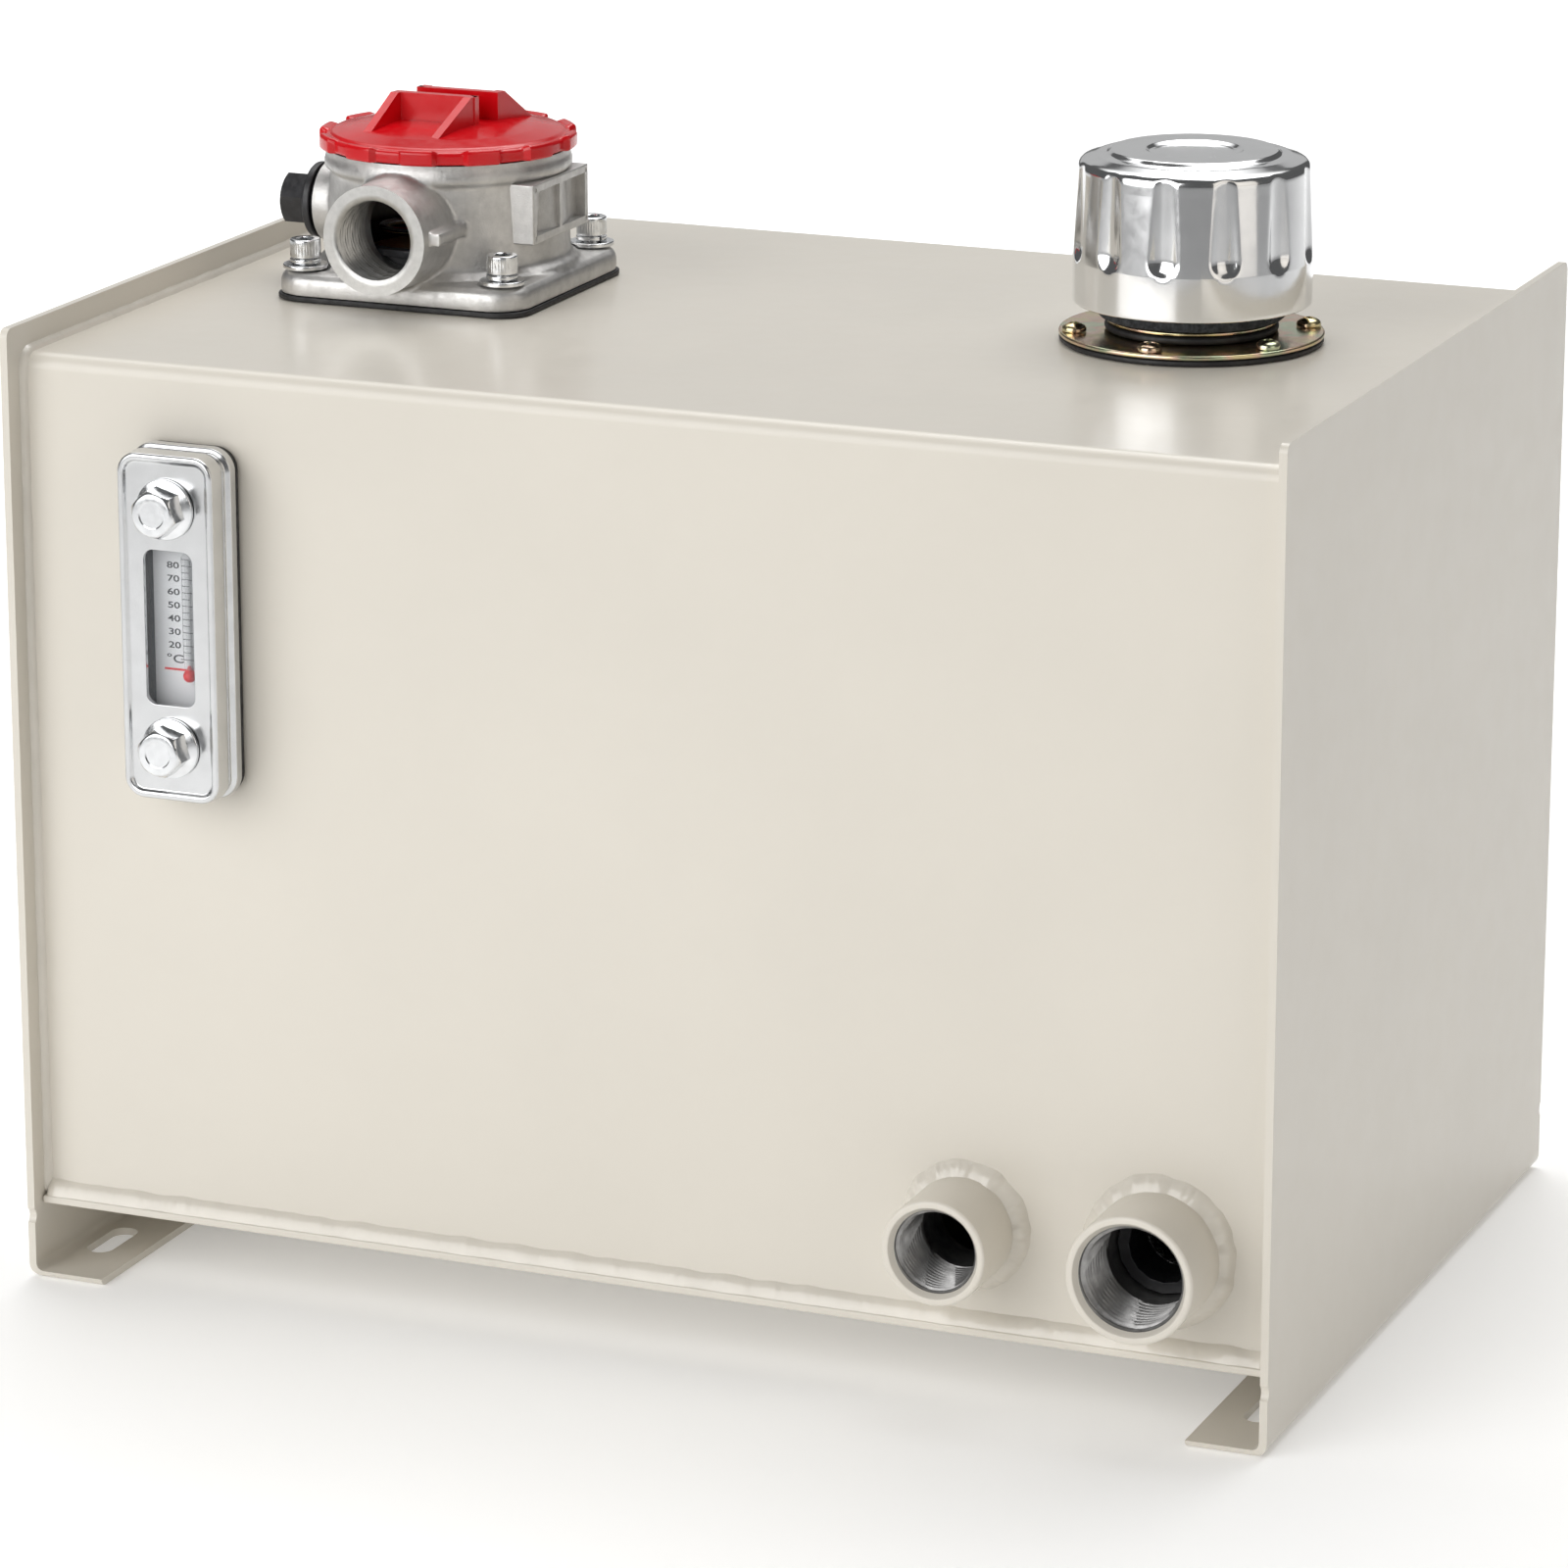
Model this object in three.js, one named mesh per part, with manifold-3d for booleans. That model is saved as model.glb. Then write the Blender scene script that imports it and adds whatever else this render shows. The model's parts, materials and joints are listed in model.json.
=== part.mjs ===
// Steel hydraulic reservoir with a return filter, a filler breather, a level gauge and two ports.
// Millimetres, +Z up, front towards -Y. The origin is under the middle of the whole object's box.
import * as THREE from 'three';
import { mergeVertices } from 'three/addons/utils/BufferGeometryUtils.js';
import Module from 'manifold-3d';

const wasm = await Module();
wasm.setup();

// ---- driving dimensions ----
const GAP = 0.3;                 // clearance between pieces that touch
const SHEET = 2.5;               // steel sheet thickness
const WIDTH = 420;               // over the two end plates
const DEPTH = 290;               // end plates, front to back
const HEIGHT = 312;              // end plates, floor to top edge
const TOP = 303;                 // upper face of the tank's top sheet
const FRONT = -136;              // outer face of the front sheet
const REAR = 139.5;              // outer face of the rear sheet
const BEND = 5;                  // outside radius of the sheet bends
const FLOOR_CLEARANCE = 24;      // bottom plate above the floor
const FOOT_WIDTH = 26;           // inward flange at the foot of each end plate
const FOOT_SLOT = { length: 25, width: 9, fromSide: 11.5, fromEnd: 35 };

const FILTER = { x: -128.5, y: 10, boltSpacing: 70, flangeHalf: 44, bodyRadius: 38.8, boreRadius: 35 };
const BREATHER = { x: 123.4, y: 21.3, flangeRadius: 41.8, screwRadius: 37.3, screwCount: 6, firstScrew: 28.5 };
const GAUGE = { x: -149, z: 224, width: 34.5, height: 112, boltSpacing: 76.2 };
const PORT_REACH = 28;           // ports stand this far out of the front sheet
const SMALL_PORT = { x: 109.5, z: 58, outer: 16.75, bore: 12.1 };
const LARGE_PORT = { x: 172, z: 58, outer: 20.2, bore: 15.2 };
const PORT_INSIDE = 12;          // and this far into the tank

// ---- materials ----
const paint = finish(0xd3cec2, 0.42, 0.1);
const chrome = finish(0xd8d9da, 0.12, 1);
const zinc = finish(0xc9b98a, 0.32, 0.9);
const brightSteel = finish(0xc4c6c8, 0.25, 1);
const castAluminium = finish(0xb9b7b2, 0.5, 0.7);
const redPlastic = finish(0xd4121f, 0.3, 0);
const rubber = finish(0x17181a, 0.6, 0);
const blackPlastic = finish(0x2b2c2e, 0.45, 0);
const clearPlastic = finish(0xe8eef0, 0.08, 0);
const whitePlastic = finish(0xeceef0, 0.5, 0);
const redSpirit = finish(0xd02a24, 0.3, 0);
const paper = finish(0xe3d7ad, 0.85, 0);
const wireMesh = finish(0x9a9c9c, 0.5, 0.8);
const greyFoam = finish(0x4f5358, 0.95, 0);

function finish(color, roughness, metalness) {
  return new THREE.MeshStandardMaterial({ color, roughness, metalness });
}

// ---- solids ----
function solid(geometry) {
  const bare = geometry.index ? geometry.toNonIndexed() : geometry.clone();
  bare.deleteAttribute('normal');
  bare.deleteAttribute('uv');
  const merged = mergeVertices(bare, 1e-4);
  const corners = merged.index.array;
  const triangles = [];
  for (let i = 0; i < corners.length; i += 3) {
    const [a, b, c] = corners.slice(i, i + 3);
    if (a !== b && b !== c && c !== a) triangles.push(a, b, c);
  }
  const points = Float32Array.from(merged.attributes.position.array);
  return new wasm.Manifold(new wasm.Mesh({ numProp: 3, vertProperties: points, triVerts: Uint32Array.from(triangles) }));
}

function geometryOf(body) {
  const result = body.getMesh();
  const geometry = new THREE.BufferGeometry();
  geometry.setAttribute('position', new THREE.BufferAttribute(result.vertProperties, 3));
  geometry.setIndex(new THREE.BufferAttribute(result.triVerts, 1));
  return geometry;
}

function cut(body, ...tools) {
  return geometryOf(tools.flat().reduce((rest, tool) => rest.subtract(solid(tool)), solid(body)));
}

function join(body, ...more) {
  return geometryOf(more.flat().reduce((whole, piece) => whole.add(solid(piece)), solid(body)));
}

function common(body, other) {
  return geometryOf(solid(body).intersect(solid(other)));
}

// ---- outlines and shapes ----
const ARC_STEPS = 2;             // an arc in an outline gets twice this many straight steps

function box([x0, x1], [y0, y1], [z0, z1]) {
  const geometry = new THREE.BoxGeometry(x1 - x0, y1 - y0, z1 - z0);
  return geometry.translate((x0 + x1) / 2, (y0 + y1) / 2, (z0 + z1) / 2);
}

// A body turned about +Z from [radius, height] points.
function turned(profile, segments = 24) {
  const points = profile.map(([radius, height]) => new THREE.Vector2(radius, height));
  return new THREE.LatheGeometry(points, segments).rotateX(Math.PI / 2);
}

function rod(radius, z0, z1, segments = 16) {
  return turned([[0, z0], [radius, z0], [radius, z1], [0, z1]], segments);
}

function ring(inner, outer, z0, z1, segments = 24) {
  return turned([[inner, z0], [outer, z0], [outer, z1], [inner, z1], [inner, z0]], segments);
}

function torus(radius, tube, z, segments = 20) {
  return new THREE.TorusGeometry(radius, tube, 6, segments).translate(0, 0, z);
}

function hexPrism(acrossFlats, z0, z1) {
  return rod(acrossFlats / Math.sqrt(3), z0, z1, 6);
}

function roundedRectangle(halfX, halfY, radius) {
  const shape = new THREE.Shape();
  const places = [[1, 1, 0], [-1, 1, 1], [-1, -1, 2], [1, -1, 3]];
  for (const [sideX, sideY, quarter] of places) {
    const start = quarter * Math.PI / 2;
    shape.absarc(sideX * (halfX - radius), sideY * (halfY - radius), radius, start, start + Math.PI / 2, false);
  }
  shape.closePath();
  return shape;
}

function extrude(shape, z0, z1) {
  const options = { depth: z1 - z0, bevelEnabled: false, curveSegments: ARC_STEPS };
  return new THREE.ExtrudeGeometry(shape, options).translate(0, 0, z0);
}

const Y_Z_X = new THREE.Matrix4().makeBasis(axis(0, 1, 0), axis(0, 0, 1), axis(1, 0, 0));
const X_Z_Y = new THREE.Matrix4().makeBasis(axis(1, 0, 0), axis(0, 0, 1), axis(0, -1, 0));

function axis(x, y, z) {
  return new THREE.Vector3(x, y, z);
}

// A section drawn in Y and Z, carried along X.
function extrudeAlongX(shape, x0, x1) {
  return extrude(shape, x0, x1).applyMatrix4(Y_Z_X);
}

// A section drawn in X and Z, carried along Y.
function extrudeAlongY(shape, y0, y1) {
  return extrude(shape, -y1, -y0).applyMatrix4(X_Z_Y);
}

function around(count, first, place) {
  return Array.from({ length: count }, (_, i) => place(THREE.MathUtils.degToRad(first + i * 360 / count), i));
}

function helix(radius, z0, z1, turns, wire) {
  const middle = (z0 + z1) / 2;
  const steps = Math.round(turns * 10);
  const points = Array.from({ length: steps + 1 }, (_, i) => {
    const angle = 2 * Math.PI * turns * i / steps;
    const rise = (i / steps - 0.5) * (z1 - z0 - 2 * wire);
    return axis(radius * Math.cos(angle), radius * Math.sin(angle), middle + rise);
  });
  const section = new THREE.Shape().absarc(0, 0, wire, 0, 2 * Math.PI, false);
  const path = new THREE.CatmullRomCurve3(points);
  return new THREE.ExtrudeGeometry(section, { steps, curveSegments: 3, bevelEnabled: false, extrudePath: path });
}

function piece(name, geometry, material, parent, place = [0, 0, 0]) {
  const body = new THREE.Mesh(geometry, material);
  body.name = name;
  body.position.set(...place);
  parent.add(body);
  return body;
}

function group(parent, place, turn = [0, 0, 0]) {
  const made = new THREE.Group();
  made.position.set(...place);
  made.rotation.set(...turn);
  parent.add(made);
  return made;
}

// ---- tank: two end plates, one bent sheet for front, top and rear, a bottom plate and a baffle ----
const INNER_HALF = WIDTH / 2 - SHEET - GAP;
const BOTTOM_TOP = FLOOR_CLEARANCE + SHEET;
const SEAM = BOTTOM_TOP + GAP;

function endPlate() {
  const outer = WIDTH / 2;
  const footEnd = outer - FOOT_WIDTH;
  const bendInside = BEND - SHEET;
  const section = new THREE.Shape();
  section.moveTo(footEnd, SHEET);
  section.lineTo(footEnd, 0);
  section.absarc(outer - BEND, BEND, BEND, -Math.PI / 2, 0, false);
  section.lineTo(outer, HEIGHT);
  section.lineTo(outer - SHEET, HEIGHT);
  section.absarc(outer - BEND, BEND, bendInside, 0, -Math.PI / 2, true);
  section.closePath();
  const bent = extrudeAlongY(section, -DEPTH / 2, DEPTH / 2);
  const cornerRadius = 3;
  const side = extrudeAlongX(roundedRectangle(DEPTH / 2, HEIGHT / 2, cornerRadius), footEnd - 1, outer + 1);
  const upper = side.translate(0, 0, HEIGHT / 2);
  const lower = box([footEnd - 1, outer + 1], [-DEPTH / 2, DEPTH / 2], [-1, HEIGHT / 2]);
  const slotHalf = (FOOT_SLOT.length - FOOT_SLOT.width) / 2;
  const slot = () => extrude(roundedRectangle(FOOT_SLOT.width / 2, slotHalf + FOOT_SLOT.width / 2,
    FOOT_SLOT.width / 2 - 0.01), -1, SHEET + 1);
  const slots = [-1, 1].map((end) => slot().translate(outer - FOOT_SLOT.fromSide,
    end * (DEPTH / 2 - FOOT_SLOT.fromEnd), 0));
  const reliefRadius = 3;
  const reliefs = [-1, 1].map((end) => rod(reliefRadius, -SHEET, SHEET, 16).rotateY(Math.PI / 2)
    .translate(outer - SHEET, end * (DEPTH / 2 + 1.8), FLOOR_CLEARANCE - reliefRadius));
  return cut(common(bent, join(upper, lower)), slots, reliefs);
}

// Front, top and rear in one piece, open at the bottom.
function wrapSection() {
  const shape = new THREE.Shape();
  const inside = BEND - SHEET;
  shape.moveTo(FRONT, SEAM);
  shape.lineTo(FRONT + SHEET, SEAM);
  shape.absarc(FRONT + BEND, TOP - BEND, inside, Math.PI, Math.PI / 2, true);
  shape.absarc(REAR - BEND, TOP - BEND, inside, Math.PI / 2, 0, true);
  shape.lineTo(REAR - SHEET, SEAM);
  shape.lineTo(REAR, SEAM);
  shape.absarc(REAR - BEND, TOP - BEND, BEND, 0, Math.PI / 2, false);
  shape.absarc(FRONT + BEND, TOP - BEND, BEND, Math.PI / 2, Math.PI, false);
  shape.closePath();
  return shape;
}

const SCREW = { shank: 2.2, hole: 2.6, head: 4.1, headHeight: 2.7, depth: 6 };
const BOLT = { shank: 3, hole: 3.4, head: 5, headHeight: 6, depth: 8 };
const STUD = { shank: 5, hole: 5.4 };
const BOWL_HOLE = 36;
const FILLER_HOLE = 26;

function frontHole(x, z, radius, segments) {
  return rod(radius, -SHEET * 2, SHEET * 2, segments).rotateX(Math.PI / 2).translate(x, FRONT, z);
}

function topHole(x, y, radius, segments) {
  return rod(radius, TOP - SHEET * 2, TOP + 1, segments).translate(x, y, 0);
}

function filterBolts(place) {
  const half = FILTER.boltSpacing / 2;
  return [[-1, -1], [1, -1], [1, 1], [-1, 1]].map(([x, y], i) => place(x * half, y * half, i));
}

function breatherScrews(place) {
  const r = BREATHER.screwRadius;
  return around(BREATHER.screwCount, BREATHER.firstScrew, (a, i) => place(r * Math.cos(a), r * Math.sin(a), i));
}

function tankWrap() {
  const holes = [
    topHole(FILTER.x, FILTER.y, BOWL_HOLE, 32),
    topHole(BREATHER.x, BREATHER.y, FILLER_HOLE, 28),
    frontHole(SMALL_PORT.x, SMALL_PORT.z, SMALL_PORT.outer + GAP, 32),
    frontHole(LARGE_PORT.x, LARGE_PORT.z, LARGE_PORT.outer + GAP, 32),
    ...[-1, 1].map((end) => frontHole(GAUGE.x, GAUGE.z + end * GAUGE.boltSpacing / 2, STUD.hole)),
    ...filterBolts((x, y) => topHole(FILTER.x + x, FILTER.y + y, BOLT.hole, 10)),
    ...breatherScrews((x, y) => topHole(BREATHER.x + x, BREATHER.y + y, SCREW.hole, 8)),
  ];
  return cut(extrudeAlongX(wrapSection(), -INNER_HALF, INNER_HALF), holes);
}

function bottomPlate() {
  const lip = 4;
  return box([-INNER_HALF, INNER_HALF], [FRONT - lip, REAR + lip], [FLOOR_CLEARANCE, BOTTOM_TOP]);
}

function bafflePlate() {
  const x = 18;
  const front = FRONT + SHEET + GAP;
  const rear = REAR - SHEET - GAP;
  const top = 210;
  const flow = 25;
  const plate = box([x, x + SHEET], [front, rear], [SEAM, top]);
  const gates = [front, rear].map((y) => box([x - 1, x + SHEET + 1], [y - flow, y + flow], [SEAM - 1, SEAM + flow]));
  return cut(plate, gates);
}

function addTank(parent) {
  piece('right_end_plate', endPlate(), paint, parent);
  piece('left_end_plate', endPlate().rotateZ(Math.PI), paint, parent);
  piece('tank_wrap', tankWrap(), paint, parent);
  piece('bottom_plate', bottomPlate(), paint, parent);
  piece('baffle_plate', bafflePlate(), paint, parent);
}

// ---- ports: threaded couplings welded through the front sheet; the large one carries a strainer ----
const FACING_FRONT = [Math.PI / 2, 0, 0];

function coupling({ outer, bore }) {
  const chamfer = 1;
  return turned([
    [bore, -PORT_INSIDE], [outer, -PORT_INSIDE], [outer, PORT_REACH - chamfer], [outer - chamfer, PORT_REACH],
    [bore + chamfer, PORT_REACH], [bore, PORT_REACH - chamfer], [bore, -PORT_INSIDE],
  ], 32);
}

function strainerHead(port) {
  const nipple = { outer: port.bore - GAP, inner: port.bore - 4, top: -4, bottom: -PORT_INSIDE - 8 };
  const collar = hexPrism(42, nipple.bottom, -PORT_INSIDE - GAP);
  const body = join(rod(nipple.outer, nipple.bottom, nipple.top), collar);
  return cut(body, rod(nipple.inner, nipple.bottom - 1, nipple.top + 1));
}

function strainerScreen() {
  const top = -PORT_INSIDE - 8 - GAP;
  const bottom = top - 95;
  const wall = 1.5;
  const pleats = 20;
  const outline = new THREE.Shape(around(pleats * 2, 0, (a, i) => {
    const r = i % 2 ? 26.5 : 24;
    return new THREE.Vector2(r * Math.cos(a), r * Math.sin(a));
  }));
  const caps = [ring(11, 27.5, top - 3, top, 24), rod(27.5, bottom, bottom + 3)];
  return join(cut(extrude(outline, bottom + 1, top - 1), rod(24 - wall * 2, bottom + 2, top + 1)), caps);
}

function addPorts(parent) {
  const small = group(parent, [SMALL_PORT.x, FRONT, SMALL_PORT.z], FACING_FRONT);
  piece('small_port', coupling(SMALL_PORT), paint, small);
  const large = group(parent, [LARGE_PORT.x, FRONT, LARGE_PORT.z], FACING_FRONT);
  piece('large_port', coupling(LARGE_PORT), paint, large);
  piece('strainer_head', strainerHead(LARGE_PORT), blackPlastic, large);
  piece('strainer_screen', strainerScreen(), wireMesh, large);
}

// ---- level gauge: heights here are distances out of the front sheet ----
const GAUGE_LAYERS = { back: [GAP, 3.5], lens: [3.8, 15.7], cover: [3.8, 18.3], panel: [16, 17.3], card: [4.1, 9.2] };
const WINDOW = { halfX: 8.4, halfY: 24.7, radius: 3.4 };
const POCKET = { halfX: 9.8, halfY: 31, front: 13.6 };
const THERMOMETER = { x: 3.8, radius: 1.6, bore: 0.95, bottom: -14, top: 23, z: 11.4 };

function gaugeBoltHoles(radius, z0, z1) {
  return [-1, 1].map((end) => rod(radius, z0, z1).translate(0, end * GAUGE.boltSpacing / 2, 0));
}

function gaugeCover() {
  const halfX = GAUGE.width / 2;
  const halfY = GAUGE.height / 2;
  const radius = 7;
  const wall = 1.4;
  const rim = 2.7;
  const [back, front] = GAUGE_LAYERS.cover;
  const [panelBack, panelFront] = GAUGE_LAYERS.panel;
  const outside = extrude(roundedRectangle(halfX, halfY, radius), back, front);
  const inside = extrude(roundedRectangle(halfX - wall, halfY - wall, radius - wall), back - 1, panelBack);
  const recess = extrude(roundedRectangle(halfX - rim, halfY - rim, radius - rim), panelFront, front + 1);
  const window = extrude(roundedRectangle(WINDOW.halfX, WINDOW.halfY, WINDOW.radius), back, front);
  return cut(outside, inside, recess, window, gaugeBoltHoles(STUD.hole, back, front));
}

function gaugeLens() {
  const [back, front] = GAUGE_LAYERS.lens;
  const margin = 1.8;
  const block = roundedRectangle(GAUGE.width / 2 - margin, GAUGE.height / 2 - margin, 5);
  const pocket = extrude(roundedRectangle(POCKET.halfX, POCKET.halfY, 3), back - 1, POCKET.front);
  return cut(extrude(block, back, front), pocket, gaugeBoltHoles(STUD.hole, back - 1, front + 1));
}

function gaugeBacking() {
  const [back, front] = GAUGE_LAYERS.back;
  const plate = extrude(roundedRectangle(GAUGE.width / 2 - 0.6, GAUGE.height / 2 - 0.6, 6.5), back, front);
  const sealSeat = 8.4;
  return cut(plate, gaugeBoltHoles(sealSeat, back - 1, front + 1));
}

function scaleCard() {
  return extrude(roundedRectangle(POCKET.halfX - 0.5, POCKET.halfY - 1, 2), ...GAUGE_LAYERS.card);
}

function thermometerTube() {
  const { radius, bore, bottom, top } = THERMOMETER;
  const tube = rod(radius, bottom, top, 16);
  return cut(tube, rod(bore, bottom - 1, top - 2, 12)).rotateX(-Math.PI / 2);
}

function thermometerSpirit() {
  const { bottom } = THERMOMETER;
  const level = bottom + 6;
  const bulb = new THREE.SphereGeometry(1.7, 12, 8).translate(0, 0, bottom - 2.2);
  return join(bulb, rod(0.6, bottom - 2, level, 10)).rotateX(-Math.PI / 2);
}

function flangedBolt() {
  const seat = GAUGE_LAYERS.panel[1] + GAP;
  const flange = turned([[0, seat], [9.6, seat], [9.6, seat + 1], [7.2, seat + 2.2], [0, seat + 2.2]]);
  const hex = hexPrism(13.6, seat + 1, seat + 9.5);
  const chamfer = turned([[0, seat], [9.6, seat], [9.6, seat + 7.6], [6.4, seat + 9.5], [0, seat + 9.5]]);
  return join(common(join(flange, hex), chamfer), rod(STUD.shank, -12, seat + 1));
}

function gaugeNut() {
  return cut(hexPrism(16, -SHEET - GAP - 8, -SHEET - GAP), rod(STUD.hole, -20, 1));
}

function addGauge(parent) {
  const gauge = group(parent, [GAUGE.x, FRONT, GAUGE.z], FACING_FRONT);
  piece('gauge_backing', gaugeBacking(), rubber, gauge);
  piece('gauge_lens', gaugeLens(), clearPlastic, gauge);
  piece('gauge_cover', gaugeCover(), chrome, gauge);
  piece('gauge_scale_card', scaleCard(), whitePlastic, gauge);
  piece('thermometer_tube', thermometerTube(), clearPlastic, gauge, [THERMOMETER.x, 0, THERMOMETER.z]);
  piece('thermometer_spirit', thermometerSpirit(), redSpirit, gauge, [THERMOMETER.x, 0, THERMOMETER.z]);
  for (const [name, end] of [['upper', 1], ['lower', -1]]) {
    const place = [0, end * GAUGE.boltSpacing / 2, 0];
    piece(`gauge_bolt_${name}`, flangedBolt(), brightSteel, gauge, place);
    piece(`gauge_nut_${name}`, gaugeNut(), brightSteel, gauge, place);
    piece(`gauge_seal_${name}`, torus(6.8, 1.2, 1.9), rubber, gauge, place);
  }
}

// ---- filler breather: heights here are above the tank's top sheet ----
const BREATHER_LAYERS = { gasket: [GAP, 1.9], flange: [2.2, 3.7], capGasket: [4, 6.3], base: [6.6, 7.8] };
const CAP = { bottom: 13, shoulder: 57, top: 61, lowRadius: 37.7, highRadius: 36.6, wall: 3.4 };
const CAP_FLUTES = { count: 12, first: 4.6, radius: 8, depth: 2, bottom: 32 };
const LUGS = { count: 3, reach: 22.2, width: 7, z: [-2.6, -0.2] };
const NECK_RADIUS = 18;

function screwHoles(z0, z1) {
  return breatherScrews((x, y) => rod(SCREW.hole, z0, z1, 8).translate(x, y, 0));
}

function bars(width, reach, z0, z1, first) {
  return around(LUGS.count, first, (a) => box([0, reach], [-width / 2, width / 2], [z0, z1]).rotateZ(a));
}

function fillerGasket() {
  const [z0, z1] = BREATHER_LAYERS.gasket;
  return cut(ring(30, BREATHER.flangeRadius, z0, z1, 36), screwHoles(z0 - 1, z1 + 1));
}

function fillerFlange() {
  const [z0, z1] = BREATHER_LAYERS.flange;
  const disc = ring(NECK_RADIUS + 0.8, BREATHER.flangeRadius, z0, z1, 36);
  const notches = bars(LUGS.width + 2, LUGS.reach + 0.8, z0 - 1, z1 + 1, 60);
  return cut(disc, screwHoles(z0 - 1, z1 + 1), notches);
}

function fillerBasket() {
  const outer = FILLER_HOLE - 1.5;
  const inner = outer - 1.2;
  const bottom = -95;
  const rim = [GAP, 1.4];
  return turned([
    [0, bottom], [outer, bottom], [outer, rim[0]], [29.2, rim[0]], [29.2, rim[1]], [inner, rim[1]],
    [inner, bottom + 1.2], [0, bottom + 1.2],
  ]);
}

function capBase() {
  const [z0, z1] = BREATHER_LAYERS.base;
  const plate = turned([
    [NECK_RADIUS - 1.5, LUGS.z[0]], [NECK_RADIUS, LUGS.z[0]], [NECK_RADIUS, z0], [27, z0], [27, z1],
    [12, z1], [12, 54], [10, 54], [10, z0], [NECK_RADIUS - 1.5, z0], [NECK_RADIUS - 1.5, LUGS.z[0]],
  ]);
  const insides = rod(NECK_RADIUS - 1.5, LUGS.z[0] - 1, LUGS.z[1] + 1);
  const lugs = bars(LUGS.width, LUGS.reach, ...LUGS.z, 0).map((bar) => cut(bar, insides));
  return join(plate, lugs);
}

function capShell() {
  const { bottom, shoulder, top, lowRadius, highRadius, wall } = CAP;
  const round = 4;
  const profile = [
    [0, top - 1], [14, top - 1], [15, top], [26, top], [27, top - 1.2], [highRadius - round, top - 1.8],
    [highRadius - 1.2, top - 2.8], [highRadius, shoulder - 2], [lowRadius, bottom], [lowRadius - 1, bottom],
    [lowRadius - wall, bottom + 3], [highRadius - wall, shoulder - round], [highRadius - wall - round, shoulder - 1.4],
    [0, shoulder - 1.4],
  ];
  const { count, first, radius, depth, bottom: low } = CAP_FLUTES;
  const flutes = around(count, first, (a) => {
    const centre = lowRadius + radius - depth;
    const channel = rod(radius, low, top + 1, 12);
    const end = new THREE.SphereGeometry(radius, 12, 6).rotateX(Math.PI / 2).translate(0, 0, low);
    return join(channel, end).translate(centre, 0, 0).rotateZ(a);
  });
  return cut(turned(profile.reverse(), 36), flutes);
}

function panScrew() {
  const seat = BREATHER_LAYERS.flange[1] + GAP;
  const { head, headHeight, shank, depth } = SCREW;
  return turned([
    [0, -depth], [shank, -depth], [shank, seat], [head, seat], [head, seat + headHeight * 0.4],
    [head * 0.7, seat + headHeight], [0, seat + headHeight],
  ], 10);
}

function addBreather(parent) {
  const breather = group(parent, [BREATHER.x, BREATHER.y, TOP]);
  piece('filler_gasket', fillerGasket(), rubber, breather);
  piece('filler_flange', fillerFlange(), zinc, breather);
  piece('filler_basket', fillerBasket(), wireMesh, breather);
  breatherScrews((x, y, i) => piece(`filler_screw_${i + 1}`, panScrew(), zinc, breather, [x, y, 0]));
  piece('cap_gasket', ring(21, 27.4, ...BREATHER_LAYERS.capGasket), rubber, breather);
  piece('cap_base', capBase(), zinc, breather);
  piece('cap_air_filter', ring(13, 30, BREATHER_LAYERS.base[1] + GAP, 52), greyFoam, breather);
  piece('cap_shell', capShell(), chrome, breather);
}

// ---- return filter: heights here are above the tank's top sheet ----
const HEAD = { flange: [2.2, 9.6], collarFrom: 39.6, top: 46.5, ledge: 15, throat: 33 };
const LID = { rimBottom: 46.8, rimTop: 51, domeTop: 55.5, ribTop: 64, lobes: 12, firstLobe: 11 };
const STACK = { washer: [9.9, 11.3], spring: [11.6, 13.1], head: 13.4 };
const RETURN_PORT = { z: 25, outer: 17.75, bore: 12.5, face: 56.6 };
const SIDE_PORT = { outer: 13, bore: 9.4, face: 43 };

function squareFlange(half, radius, z0, z1) {
  const holes = filterBolts((x, y) => rod(BOLT.hole, z0 - 1, z1 + 1, 10).translate(x, y, 0));
  return cut(extrude(roundedRectangle(half, half, radius), z0, z1), holes);
}

function filterGasket() {
  const half = FILTER.flangeHalf + 0.6;
  return cut(squareFlange(half, 11, GAP, 1.9), rod(BOWL_HOLE, 0, 3, 32));
}

function pad() {
  const face = 40;
  const half = 21.5;
  const z = [20, 39.5];
  const border = 2.5;
  const pockets = [-1, 1].map((side) => box([face - 3, face + 1],
    side < 0 ? [-half + border, -1] : [1, half - border], [z[0] + border, z[1] - border]));
  return cut(box([FILTER.boreRadius - 5, face], [-half, half], z), pockets);
}

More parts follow.
